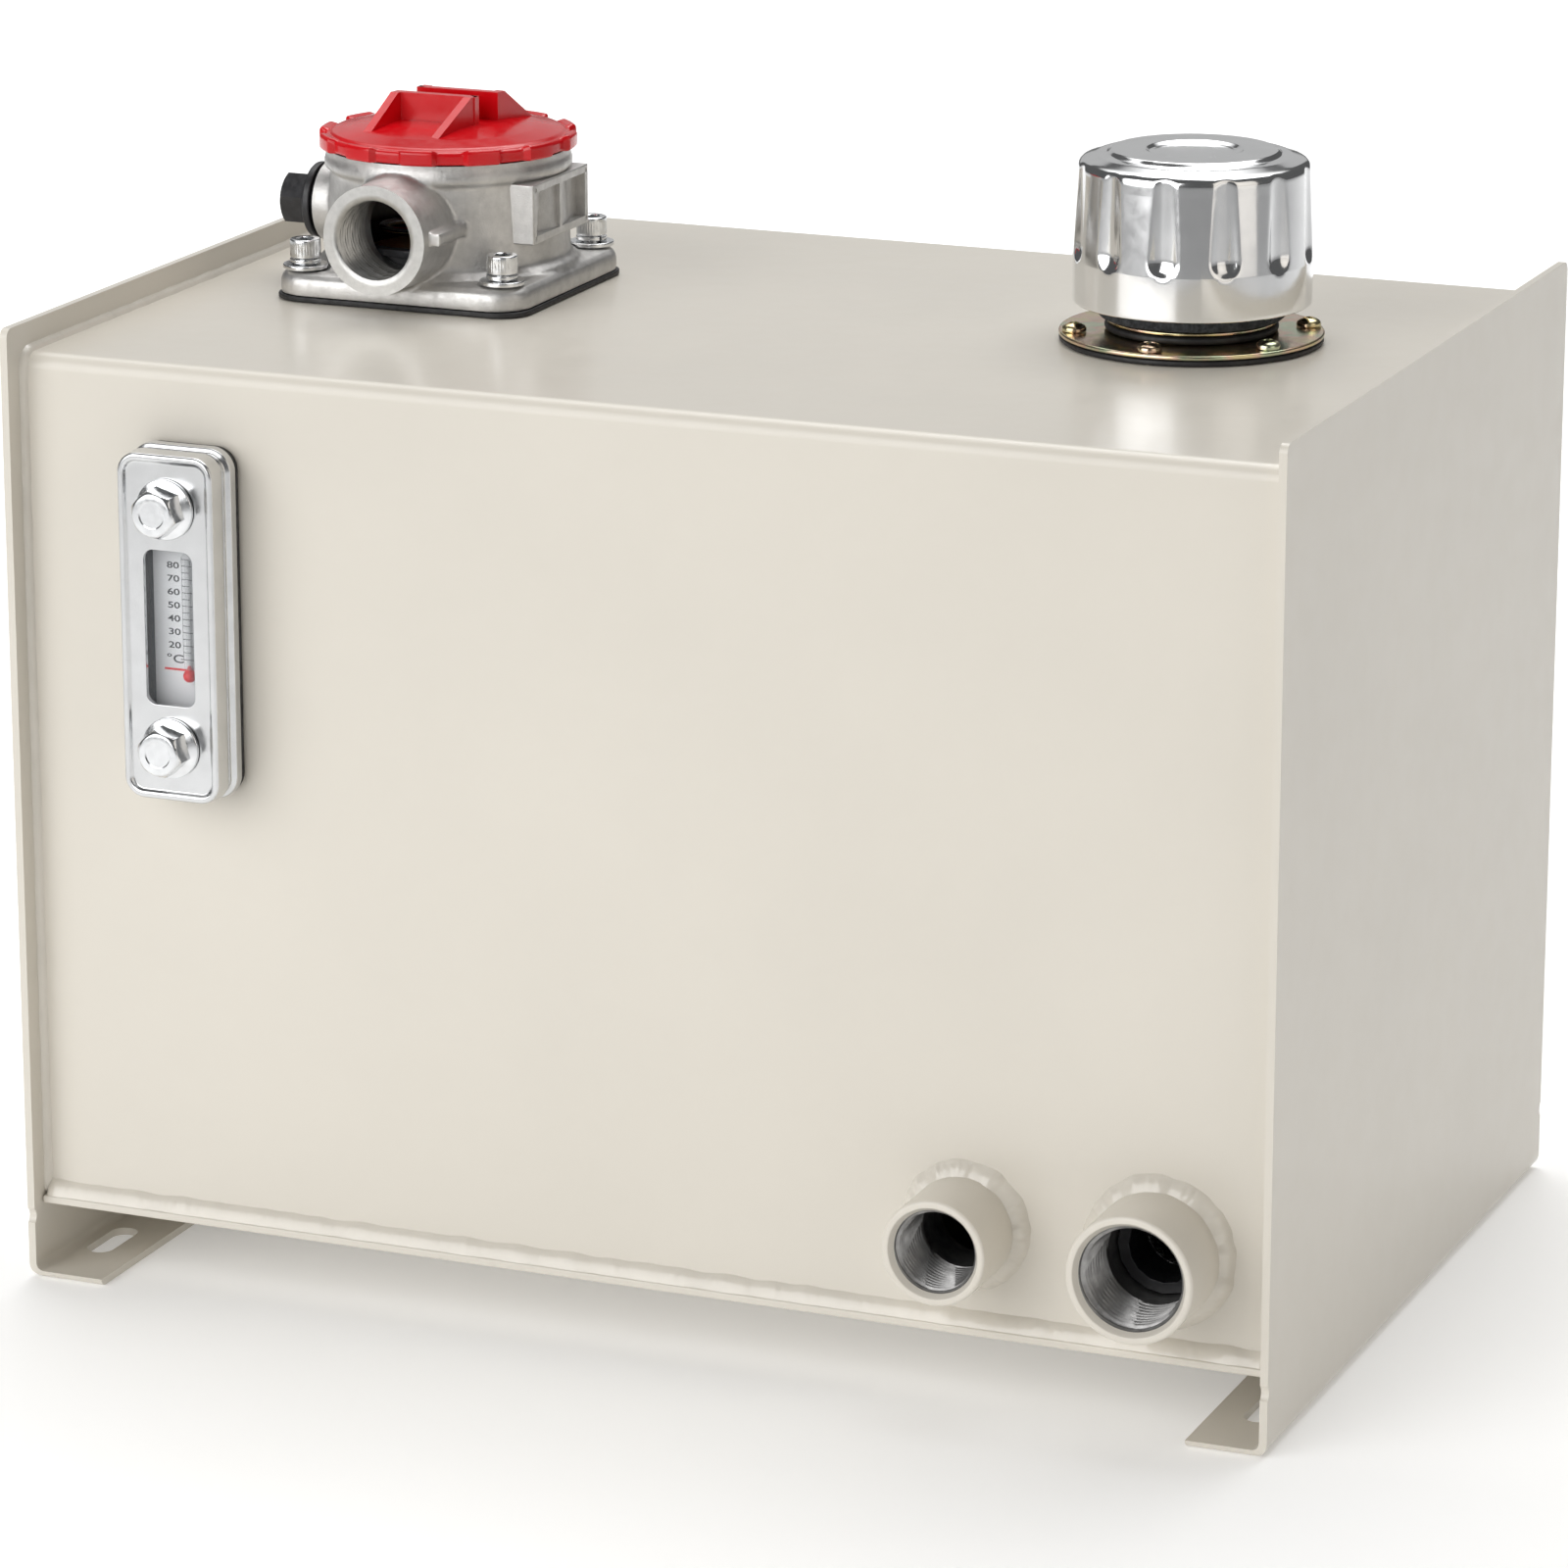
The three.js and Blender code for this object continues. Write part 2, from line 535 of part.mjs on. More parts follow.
function filterHead() {
  const { flange, collarFrom, top, ledge, throat } = HEAD;
  const outer = FILTER.bodyRadius;
  const body = turned([
    [0, flange[0]], [outer + 3, flange[0]], [outer + 3, flange[1] + 1.2], [outer, flange[1] + 3],
    [outer, collarFrom], [outer + 1.2, collarFrom + 1], [outer + 1.2, top], [0, top],
  ], 40);
  const { z, outer: boss, bore, face } = RETURN_PORT;
  const port = rod(boss, 20, face, 28).rotateX(Math.PI / 2).translate(0, 0, z);
  const rib = box([0, boss + 3.4], [-face + 2.5, -20], [z - 1, z + 3]);
  const sideBoss = rod(SIDE_PORT.outer, 20, SIDE_PORT.face, 20).rotateY(-Math.PI / 2).translate(0, 0, z);
  const whole = join(body, squareFlange(FILTER.flangeHalf, 11, ...flange), port, rib, sideBoss, pad());
  const bores = [
    rod(FILTER.boreRadius, ledge, top + 1, 40),
    rod(throat, flange[0] - 1, ledge + 1, 40),
    rod(bore, 20, face + 1, 24).rotateX(Math.PI / 2).translate(0, 0, z),
    rod(SIDE_PORT.bore, 20, SIDE_PORT.face + 1).rotateY(-Math.PI / 2).translate(0, 0, z),
  ];
  const boltHoles = filterBolts((x, y) => rod(BOLT.hole, 0, flange[1] + 4, 10).translate(x, y, 0));
  return cut(whole, bores, boltHoles);
}

// The outline of the rim: twelve raised lobes with shallow gaps between them.
function lobedOutline(outer, inner) {
  const step = 2 * Math.PI / LID.lobes;
  const lobeHalf = step * 0.27;
  const rampHalf = step * 0.045;
  const stops = [
    [-lobeHalf - rampHalf, inner], [-lobeHalf + rampHalf, outer], [0, outer],
    [lobeHalf - rampHalf, outer], [lobeHalf + rampHalf, inner], [step / 2, inner],
  ];
  const points = around(LID.lobes, LID.firstLobe, (a) => stops.map(([shift, r]) =>
    new THREE.Vector2(r * Math.cos(a + shift), r * Math.sin(a + shift))));
  return new THREE.Shape(points.flat());
}

const RIB = { left: -16, right: 13, near: 4, web: 3, cheek: 3, lean: THREE.MathUtils.degToRad(9) };

// One grip rib: an upright blade with a sloping cheek at each end, a little off square to it.
function gripRib() {
  const root = LID.rimTop - 1;
  const top = LID.ribTop;
  const { left, right, near, web, cheek, lean } = RIB;
  const blade = box([left, right], [-near - web, -near], [root, top]);
  const cheeks = [[left, 22], [right - cheek, 26]].map(([x, reach]) => {
    const outline = new THREE.Shape();
    outline.moveTo(0, root);
    outline.lineTo(reach, root);
    outline.lineTo(reach, root + 2);
    outline.lineTo(web + 1, top);
    outline.lineTo(0, top);
    outline.closePath();
    return extrudeAlongY(outline, 0, cheek).rotateZ(-Math.PI / 2 - lean).translate(x, -near, 0);
  });
  return join(blade, cheeks);
}

function filterLid() {
  const { rimBottom, rimTop, domeTop } = LID;
  const skirt = { outer: 34.5, inner: 30.5, bottom: 38, groove: [40.9, 43.5], grooveRadius: 32.4 };
  const rim = extrude(lobedOutline(42.2, 40.9), rimBottom, rimTop);
  const body = turned([
    [0, 49.5], [skirt.inner, 49.5], [skirt.inner, skirt.bottom], [skirt.outer, skirt.bottom],
    [skirt.outer, skirt.groove[0]], [skirt.grooveRadius, skirt.groove[0]], [skirt.grooveRadius, skirt.groove[1]],
    [skirt.outer, skirt.groove[1]], [skirt.outer, rimBottom], [40, rimBottom], [40, rimTop], [38, rimTop + 1],
    [30, rimTop + 2.4], [20, domeTop - 1], [0, domeTop],
  ], 36);
  const hollow = rod(skirt.inner, rimBottom - 1, 49.5, 36);
  const ribs = [0, Math.PI].map((turn) => gripRib().rotateZ(turn));
  return join(cut(rim, hollow), body, ribs);
}

function bowl() {
  const wall = 1.6;
  const outer = HEAD.throat - 0.6;
  const bottom = -165;
  const outlet = 12;
  const lip = HEAD.ledge + GAP;
  return turned([
    [outlet, bottom - wall], [outer, bottom - wall], [outer, lip], [HEAD.throat + 1.6, lip],
    [HEAD.throat + 1.6, lip + 2.4], [outer - wall, lip + 2.4], [outer - wall, bottom], [outlet, bottom],
    [outlet, bottom - wall],
  ], 28);
}

const ELEMENT = { bottom: -160, top: 12, outer: 28, bore: 15, seat: 8 };

function element() {
  const { bottom, top, outer, bore, seat } = ELEMENT;
  const pleats = 18;
  const outline = new THREE.Shape(around(pleats * 2, 0, (a, i) => {
    const r = i % 2 ? outer - 1 : outer - 8;
    return new THREE.Vector2(r * Math.cos(a), r * Math.sin(a));
  }));
  const pack = cut(extrude(outline, bottom + 1, top - 1), rod(bore, bottom, top));
  return join(pack, ring(seat, outer, top - 3, top), ring(10, outer, bottom, bottom + 3));
}

const CAGE_BOTTOM = -26;

function bypassCage() {
  const top = ELEMENT.top - 3 - GAP;
  const legs = around(3, 30, (a) => box([12.4, 14.2], [-2, 2], [CAGE_BOTTOM, top]).rotateZ(a));
  return join(ring(12, 14.4, top - 2, top, 20), ring(2.6, 14.4, CAGE_BOTTOM, CAGE_BOTTOM + 2, 20), legs);
}

function bypassPoppet() {
  const top = ELEMENT.top - 3 - GAP;
  return turned([
    [0, CAGE_BOTTOM - 2], [2, CAGE_BOTTOM - 2], [2, top - 4], [10.6, top - 4], [10.6, top - 0.2],
    [7.4, top], [7.4, top + 2.6], [0, top + 2.6],
  ], 16);
}

function splitWasher() {
  const [z0, z1] = STACK.spring;
  return cut(ring(BOLT.hole, 5.1, z0, z1, 16), box([0, 8], [-0.4, 0.4], [z0 - 1, z1 + 1]));
}

function capScrew() {
  const { head } = STACK;
  const socketDepth = 3.2;
  const body = turned([
    [0, -BOLT.depth], [BOLT.shank, -BOLT.depth], [BOLT.shank, head], [BOLT.head, head],
    [BOLT.head, head + BOLT.headHeight - 0.4], [BOLT.head - 0.4, head + BOLT.headHeight], [0, head + BOLT.headHeight],
  ], 16);
  return cut(body, hexPrism(5, head + BOLT.headHeight - socketDepth, head + BOLT.headHeight + 1));
}

function sidePlug() {
  const flange = [1.9, 4.6];
  return join(rod(12.6, ...flange, 20), hexPrism(17.5, flange[1] - 1, flange[1] + 12.2), rod(8.6, -7, flange[1]));
}

function addFilter(parent) {
  const filter = group(parent, [FILTER.x, FILTER.y, TOP]);
  piece('filter_gasket', filterGasket(), rubber, filter);
  piece('filter_head', filterHead(), castAluminium, filter);
  piece('filter_lid', filterLid(), redPlastic, filter);
  piece('lid_o_ring', torus(33.7, 1, 42.2, 36), rubber, filter);
  piece('filter_bowl', bowl(), blackPlastic, filter);
  piece('filter_element', element(), paper, filter);
  piece('element_spring', helix(22, ELEMENT.top + GAP, 49.5 - GAP, 3, 1.1), brightSteel, filter);
  piece('bypass_cage', bypassCage(), brightSteel, filter);
  piece('bypass_poppet', bypassPoppet(), brightSteel, filter);
  const springTop = ELEMENT.top - 3 - GAP - 4 - GAP;
  piece('bypass_spring', helix(7, CAGE_BOTTOM + 2 + GAP, springTop, 4, 0.8), brightSteel, filter);
  filterBolts((x, y, i) => {
    const place = [x, y, 0];
    piece(`filter_flat_washer_${i + 1}`, ring(BOLT.hole, 7.4, ...STACK.washer, 16), brightSteel, filter, place);
    piece(`filter_spring_washer_${i + 1}`, splitWasher(), brightSteel, filter, place);
    piece(`filter_screw_${i + 1}`, capScrew(), brightSteel, filter, place);
  });
  const side = group(filter, [-SIDE_PORT.face, 0, RETURN_PORT.z], [0, -Math.PI / 2, 0]);
  piece('side_plug_seal', torus(10.8, 0.65, 1), rubber, side);
  piece('side_plug', sidePlug(), blackPlastic, side);
}

// ---- the whole reservoir, its origin under the middle of its box ----
const reservoir = new THREE.Group();
const frontMost = FRONT - PORT_REACH;
reservoir.position.y = -(frontMost + DEPTH / 2) / 2;
addTank(reservoir);
addPorts(reservoir);
addGauge(reservoir);
addBreather(reservoir);
addFilter(reservoir);

export default reservoir;
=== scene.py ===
"""Looks of a steel hydraulic reservoir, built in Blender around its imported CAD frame.

Pieces are modelled in millimetres in frames of their own, then placed in the row frame, which is in metres
with +Z up and the front towards -Y. Sizes come from the boxes of the CAD nodes that the pieces stand for.
"""
import json
import math

import bmesh
import bpy
from mathutils import Matrix, Vector, noise


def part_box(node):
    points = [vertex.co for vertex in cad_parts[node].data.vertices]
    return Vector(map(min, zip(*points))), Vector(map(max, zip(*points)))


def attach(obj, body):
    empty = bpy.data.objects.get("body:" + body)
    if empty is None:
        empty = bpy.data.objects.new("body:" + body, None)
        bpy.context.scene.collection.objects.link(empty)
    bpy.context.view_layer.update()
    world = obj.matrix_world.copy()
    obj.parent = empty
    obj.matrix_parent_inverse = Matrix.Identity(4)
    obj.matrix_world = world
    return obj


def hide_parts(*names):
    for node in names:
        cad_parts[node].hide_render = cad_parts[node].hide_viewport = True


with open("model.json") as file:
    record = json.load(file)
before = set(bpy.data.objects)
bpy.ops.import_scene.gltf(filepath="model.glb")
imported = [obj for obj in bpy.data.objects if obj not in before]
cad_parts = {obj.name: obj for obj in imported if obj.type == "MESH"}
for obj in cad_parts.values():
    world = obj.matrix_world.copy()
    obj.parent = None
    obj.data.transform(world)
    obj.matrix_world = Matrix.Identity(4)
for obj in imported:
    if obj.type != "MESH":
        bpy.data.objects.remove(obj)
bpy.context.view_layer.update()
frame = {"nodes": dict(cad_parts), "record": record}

MM = 0.001
RECORD = frame["record"]
BODY_OF = {node: body for body, nodes in RECORD["behaviour"]["bodies"].items() for node in nodes}


class Box:
    """The box round some CAD nodes at rest, in millimetres."""

    def __init__(self, *nodes):
        boxes = [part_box(node) for node in nodes]
        self.low = Vector([min(low[k] for low, _ in boxes) / MM for k in range(3)])
        self.high = Vector([max(high[k] for _, high in boxes) / MM for k in range(3)])
        self.middle = (self.low + self.high) / 2
        self.size = self.high - self.low

    def heights(self):
        """Its lower and upper face, above the tank's top sheet."""
        return self.low.z - TOP, self.high.z - TOP

    def depths(self):
        """Its rear and front face, out of the tank's front sheet."""
        return FRONT - self.high.y, FRONT - self.low.y


WRAP = Box("tank_wrap")
FRONT = WRAP.low.y
TOP = WRAP.high.z
SHEET = Box("bottom_plate").size.z
BEND = 5                         # outside radius of the sheet's bends
GAP = 0.3                        # between pieces that touch
STUD_HOLE, BOLT_HOLE, SCREW_HOLE = 5.4, 3.4, 2.6
BOWL_HOLE, BASKET_HOLE = 36, 26

FACING_FRONT = Matrix(((1, 0, 0, 0), (0, 0, -1, 0), (0, 1, 0, 0), (0, 0, 0, 1)))    # z towards the front
FACING_RIGHT = Matrix(((0, 0, 1, 0), (1, 0, 0, 0), (0, 1, 0, 0), (0, 0, 0, 1)))     # z towards the right
ROUND = 96                       # steps round most turned surfaces


def on_top(box):
    """The frame of a part on the tank's top: z through the box's middle, from the top sheet upward."""
    return Matrix.Translation((box.middle.x, box.middle.y, TOP))


def on_front(box):
    """The frame of a part on the tank's front: z through the box's middle, out of the front sheet."""
    return Matrix.Translation((box.middle.x, FRONT, box.middle.z)) @ FACING_FRONT


# ---- outlines, as lists of 2D points ----
def rounded(points, steps=4, closed=False):
    """The outline with its corners rounded, where a point's third number is the radius."""
    count = len(points)
    made = []
    for i, point in enumerate(points):
        here = Vector(point[:2])
        radius = point[2] if len(point) > 2 else 0
        if not radius or (not closed and i in (0, count - 1)):
            made.append(here)
            continue
        back = Vector(points[i - 1][:2]) - here
        on = Vector(points[(i + 1) % count][:2]) - here
        half = back.angle(on) / 2
        reach = min(radius / math.tan(half), back.length * 0.49, on.length * 0.49)
        radius = reach * math.tan(half)
        centre = here + (back.normalized() + on.normalized()).normalized() * radius / math.sin(half)
        first = here + back.normalized() * reach - centre
        sweep = first.angle_signed(here + on.normalized() * reach - centre)
        for k in range(steps + 1):
            made.append(centre + Matrix.Rotation(-sweep * k / steps, 2) @ first)
    return made


def rounded_rectangle(half_x, half_y, radius, steps=8):
    """Counter-clockwise from the +X side; every call with the same steps has as many points."""
    points = []
    for quarter, (side_x, side_y) in enumerate(((1, 1), (-1, 1), (-1, -1), (1, -1))):
        for k in range(steps + 1):
            angle = math.pi / 2 * (quarter + k / steps)
            corner = Vector((side_x * (half_x - radius), side_y * (half_y - radius)))
            points.append(corner + radius * Vector((math.cos(angle), math.sin(angle))))
    return points


def angles(count, sweep=2 * math.pi):
    """A sweep in equal steps, without its end."""
    return [sweep * k / count for k in range(count)]


def circle(radius, count=48, centre=(0, 0)):
    return [Vector(centre) + radius * Vector((math.cos(a), math.sin(a))) for a in angles(count)]


def band(inner, outer, low, high, corners, steps=4):
    """The section of a ring. corners are its radii, from the lower inner one by way of the outer ones."""
    a, b, c, d = corners
    return rounded([(inner, low, a), (outer, low, b), (outer, high, c), (inner, high, d)], steps, closed=True)


def dense(points, step):
    """The line with extra points, so that no stretch is longer than step."""
    made = [Vector(points[0])]
    for start, end in zip(points, points[1:]):
        parts = max(1, math.ceil((Vector(end) - Vector(start)).length / step))
        made += [Vector(start).lerp(Vector(end), k / parts) for k in range(1, parts + 1)]
    return made


def at_height(outline, z):
    return [Vector((p[0], p[1], z)) for p in outline]


# ---- solids: temporary objects in millimetres ----
def new_object(name, bm):
    """An object of a bmesh, cleaned and with its faces turned outward."""
    bmesh.ops.remove_doubles(bm, verts=bm.verts, dist=1e-4)
    bmesh.ops.dissolve_degenerate(bm, edges=bm.edges, dist=1e-5)
    bmesh.ops.recalc_face_normals(bm, faces=bm.faces)
    mesh = bpy.data.meshes.new(name)
    bm.to_mesh(mesh)
    bm.free()
    made = bpy.data.objects.new(name, mesh)
    bpy.context.scene.collection.objects.link(made)
    return made


def skin(rings, joined=False, finishes=None):
    """A closed surface over rings of as many points each. joined meets the last ring with the first, and
    finishes gives the material index of the faces after each ring."""
    bm = bmesh.new()
    rows = [[bm.verts.new(point) for point in ring] for ring in rings]
    count = len(rows[0])
    for i in range(len(rows) if joined else len(rows) - 1):
        lower, upper = rows[i], rows[(i + 1) % len(rows)]
        for k in range(count):
            face = bm.faces.new((lower[k], lower[(k + 1) % count], upper[(k + 1) % count], upper[k]))
            face.material_index = finishes[i] if finishes else 0
    if not joined:
        for row in (rows[0], rows[-1]):
            if (row[0].co - row[count // 2].co).length > 1e-3:
                bm.faces.new(row)
    return new_object("solid", bm)


def turned(profile, steps=ROUND, shape=None, joined=False, finishes=None):
    """A body turned about z from (radius, height) points. shape may change a radius with its angle."""
    rings = []
    for radius, height in profile:
        ring = []
        for angle in angles(steps):
            r = shape(radius, height, angle) if shape else radius
            ring.append(Vector((r * math.cos(angle), r * math.sin(angle), height)))
        rings.append(ring)
    return skin(rings, joined, finishes)


def prism(outline, z0, z1):
    """An outline drawn up from one height to another."""
    return skin([at_height(outline, z0), at_height(outline, z1)])


def block(low, high):
    outline = [(low[0], low[1]), (high[0], low[1]), (high[0], high[1]), (low[0], high[1])]
    return prism(outline, low[2], high[2])


def rod(radius, z0, z1, steps=48):
    return prism(circle(radius, steps), z0, z1)


def pillow(half_x, half_y, radius, layers, steps=8):
    """Rounded rectangles one over another, each layer an (inset, height)."""
    rings = []
    for inset, height in layers:
        corner = max(radius - inset, 0.2)
        rings.append(at_height(rounded_rectangle(half_x - inset, half_y - inset, corner, steps), height))
    return skin(rings)


def moved(made, matrix):
    """Moves, turns or mirrors a solid."""
    made.data.transform(matrix)
    if matrix.determinant() < 0:
        made.data.flip_normals()
    return made


def shifted(made, x, y, z=0):
    return moved(made, Matrix.Translation((x, y, z)))


def spun(made, degrees, axis="Z"):
    return moved(made, Matrix.Rotation(math.radians(degrees), 4, axis))


def settle(made):
    """Applies the modifiers."""
    depsgraph = bpy.context.evaluated_depsgraph_get()
    mesh = bpy.data.meshes.new_from_object(made.evaluated_get(depsgraph))
    made.modifiers.clear()
    made.data = mesh
    return made


def combine(body, tools, operation, solver="EXACT"):
    """A boolean that uses its tools up."""
    for tool in tools:
        step = body.modifiers.new("combine", "BOOLEAN")
        step.object = tool
        step.operation = operation
        step.solver = solver
    settle(body)
    for tool in tools:
        bpy.data.objects.remove(tool)
    return body


def cut(body, *tools, solver="EXACT"):
    return combine(body, tools, "DIFFERENCE", solver)


def union(body, *tools, solver="EXACT"):
    return combine(body, tools, "UNION", solver)


def merge(first, *more):
    """One object of several solids."""
    bm = bmesh.new()
    bm.from_mesh(first.data)
    for other in more:
        bm.from_mesh(other.data)
        bpy.data.objects.remove(other)
    bm.to_mesh(first.data)
    bm.free()
    return first


def soften(made, width, segments=2, angle=30):
    """Rounds the sharp edges."""
    step = made.modifiers.new("edges", "BEVEL")
    step.width = width
    step.segments = segments
    step.limit_method = "ANGLE"
    step.angle_limit = math.radians(angle)
    step.use_clamp_overlap = True
    return settle(made)


def shade(made, angle=32):
    made.data.shade_smooth()
    made.data.set_sharp_from_angle(angle=math.radians(angle))
    return made


# ---- putting pieces in the frame ----
def place(made, name, where, like, *materials, stands_for=True, angle=32):
    """Names a piece and gives it the body and the place of a CAD node."""
    made.name = name
    made.data.name = name
    made.data.transform(Matrix.Scale(MM, 4) @ where)
    if len(materials) == 1:
        made.data.materials.clear()
    for material in materials:
        made.data.materials.append(material)
    shade(made, angle)
    round_all_over = 60          # pieces with no flat faces to level
    if angle < round_all_over:
        level = made.modifiers.new("level faces", "WEIGHTED_NORMAL")
        level.keep_sharp = True
    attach(made, BODY_OF[like])
    if stands_for:
        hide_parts(like)
    return made


def keep(node, material, bevel):
    """A CAD node that stays, with its edges rounded and a material of its own."""
    kept = frame["nodes"][node]
    kept.data.materials.clear()
    kept.data.materials.append(material)
    weld = kept.modifiers.new("weld", "WELD")
    weld.merge_threshold = 1e-6
    edges = kept.modifiers.new("edges", "BEVEL")
    edges.width = bevel * MM
    edges.segments = 2
    edges.limit_method = "ANGLE"
    edges.angle_limit = math.radians(40)
    edges.harden_normals = True
    return kept


# ---- materials ----
class Material:
    """A Principled material and short names for the nodes that shape it. Sizes are in millimetres."""

    def __init__(self, name, colour, roughness, metallic=0.0):
        self.made = bpy.data.materials.new(name)
        self.made.use_nodes = True
        self.nodes = self.made.node_tree.nodes
        self.links = self.made.node_tree.links
        self.shader = self.nodes["Principled BSDF"]
        self.colour = colour
        self.set("Base Color", (*colour, 1))
        self.set("Roughness", roughness)
        self.set("Metallic", metallic)
        self.place = self.nodes.new("ShaderNodeTexCoord").outputs["Object"]
        self.height = None

    def set(self, socket, value):
        self.shader.inputs[socket].default_value = value

    def noise(self, size, detail=3.0, sharp=0.5):
        node = self.nodes.new("ShaderNodeTexNoise")
        node.inputs["Scale"].default_value = 1 / (size * MM)
        node.inputs["Detail"].default_value = detail
        node.inputs["Roughness"].default_value = sharp
        self.links.new(self.place, node.inputs["Vector"])
        return node.outputs["Fac"]

    def cells(self, size):
        node = self.nodes.new("ShaderNodeTexVoronoi")
        node.inputs["Scale"].default_value = 1 / (size * MM)
        self.links.new(self.place, node.inputs["Vector"])
        return node.outputs["Distance"]

    def level_bands(self, size):
        """Horizontal bands, one to each size of height."""
        waves_per_unit = 3.18
        node = self.nodes.new("ShaderNodeTexWave")
        node.bands_direction = "Z"
        node.inputs["Scale"].default_value = 1 / (size * MM) / waves_per_unit
        self.links.new(self.place, node.inputs["Vector"])
        return node.outputs["Fac"]

    def spread(self, value, low, high):
        """A noise's values, which lie about its middle, as ones from low to high."""
        node = self.nodes.new("ShaderNodeMapRange")
        node.inputs["From Min"].default_value = 0.3
        node.inputs["From Max"].default_value = 0.7
        node.inputs["To Min"].default_value = low
        node.inputs["To Max"].default_value = high
        self.links.new(value, node.inputs["Value"])
        return node.outputs["Result"]

    def ramp(self, value, *stops):
        """A colour for the value, between (position, colour) stops."""
        node = self.nodes.new("ShaderNodeValToRGB")
        ramp = node.color_ramp
        while len(ramp.elements) < len(stops):
            ramp.elements.new(0.5)
        for element, (position, colour) in zip(ramp.elements, stops):
            element.position = position
            element.color = (*colour, 1)
        self.links.new(value, node.inputs["Fac"])
        return node.outputs["Color"]

    def mottle(self, value, darker, lighter):
        """The base colour, from darker to lighter times itself."""
        low = [c * darker for c in self.colour]
        high = [min(1, c * lighter) for c in self.colour]
        self.links.new(self.ramp(value, (0.3, low), (0.7, high)), self.shader.inputs["Base Color"])
        return self

    def tint(self, value, *stops):
        """The base colour, between (position, colour) stops."""
        self.links.new(self.ramp(value, *stops), self.shader.inputs["Base Color"])
        return self

    def polish(self, value, low, high):
        """The roughness, from low to high."""
        self.links.new(self.spread(value, low, high), self.shader.inputs["Roughness"])
        return self

    def bump(self, value, height):
        """Relief of that height, over the relief made before."""
        node = self.nodes.new("ShaderNodeBump")
        node.inputs["Strength"].default_value = 1.0
        node.inputs["Distance"].default_value = height * MM
        self.links.new(value, node.inputs["Height"])
        if self.height is not None:
            self.links.new(self.height, node.inputs["Normal"])
        self.height = node.outputs["Normal"]
        self.links.new(self.height, self.shader.inputs["Normal"])
        return self


def powder_coat():
    m = Material("warm grey powder coat", (0.69, 0.65, 0.575), 0.33)
    m.mottle(m.noise(90, 3), 0.98, 1.015)
    m.polish(m.noise(9, 3), 0.3, 0.38)
    m.bump(m.noise(2.6, 1, 0.4), 0.007)
    m.set("Coat Weight", 0.25)
    m.set("Coat Roughness", 0.18)
    return m.made


def weld_coat():
    m = Material("powder coat over weld", (0.69, 0.65, 0.575), 0.24)
    m.mottle(m.noise(14, 2), 0.98, 1.03)
    m.polish(m.noise(5, 2), 0.16, 0.26)
    m.bump(m.noise(2.5, 1), 0.03)
    m.set("Coat Weight", 0.4)
    m.set("Coat Roughness", 0.12)
    return m.made


def chrome_plate():
    m = Material("chrome plate", (0.86, 0.865, 0.87), 0.12, 1.0)
    m.mottle(m.noise(14, 2), 0.96, 1.02)
    m.polish(m.noise(5, 5, 0.7), 0.09, 0.15)
    m.bump(m.noise(11, 1), 0.03)
    return m.made


def pressed_chrome():
    m = Material("satin chrome plate", (0.68, 0.685, 0.69), 0.18, 1.0)
    m.mottle(m.noise(9, 3), 0.94, 1.03)
    m.polish(m.noise(4, 4, 0.6), 0.14, 0.25)
    m.bump(m.noise(6, 2), 0.03)
    return m.made


def yellow_zinc():
    m = Material("yellow passivated zinc", (0.62, 0.53, 0.34), 0.24, 1.0)
    m.tint(m.noise(16, 3, 0.55), (0.3, (0.50, 0.47, 0.30)), (0.42, (0.70, 0.60, 0.34)),
           (0.52, (0.74, 0.52, 0.40)), (0.6, (0.55, 0.62, 0.42)), (0.7, (0.72, 0.66, 0.46)))
    m.polish(m.noise(3, 4), 0.15, 0.26)
    m.bump(m.noise(1.1, 3), 0.012)
    return m.made


def bright_zinc():
    m = Material("bright zinc plate", (0.80, 0.81, 0.82), 0.2, 1.0)
    m.mottle(m.noise(3, 3), 0.92, 1.05)
    m.polish(m.noise(1.5, 4), 0.13, 0.26)
    m.bump(m.noise(0.7, 3), 0.012)
    return m.made


def cast_metal():
    m = Material("tumbled cast aluminium", (0.62, 0.61, 0.595), 0.4, 0.85)
    m.mottle(m.noise(7, 5, 0.65), 0.84, 1.1)
    m.polish(m.noise(2.2, 4, 0.6), 0.34, 0.55)
    m.bump(m.noise(1.0, 4, 0.6), 0.05)
    m.bump(m.cells(0.55), 0.03)
    return m.made


def machined_metal():
    m = Material("machined aluminium", (0.50, 0.495, 0.48), 0.34, 0.95)
    m.mottle(m.noise(2, 3), 0.9, 1.06)
    m.polish(m.noise(1.2, 3), 0.29, 0.4)
    m.bump(m.noise(0.35, 2), 0.012)
    return m.made


def thread_metal():
    m = Material("bare thread steel", (0.36, 0.355, 0.35), 0.36, 0.8)
    m.mottle(m.noise(4, 4), 0.72, 1.12)
    m.polish(m.noise(1.5, 3), 0.29, 0.45)
    m.bump(m.noise(0.5, 3), 0.02)
    return m.made


def red_moulding():
    m = Material("glossy red plastic", (0.63, 0.003, 0.008), 0.22)
    m.mottle(m.noise(20, 3), 0.93, 1.05)
    m.polish(m.noise(3, 4), 0.15, 0.27)
    m.bump(m.noise(2.5, 2), 0.03)
    m.set("Coat Weight", 0.12)
    m.set("Coat Roughness", 0.08)
    return m.made


def black_rubber():
    m = Material("black rubber", (0.012, 0.012, 0.013), 0.5)
    m.mottle(m.noise(3, 3), 0.7, 1.8)
    m.polish(m.noise(2, 3), 0.38, 0.6)
    m.bump(m.noise(0.7, 3), 0.05)
    return m.made


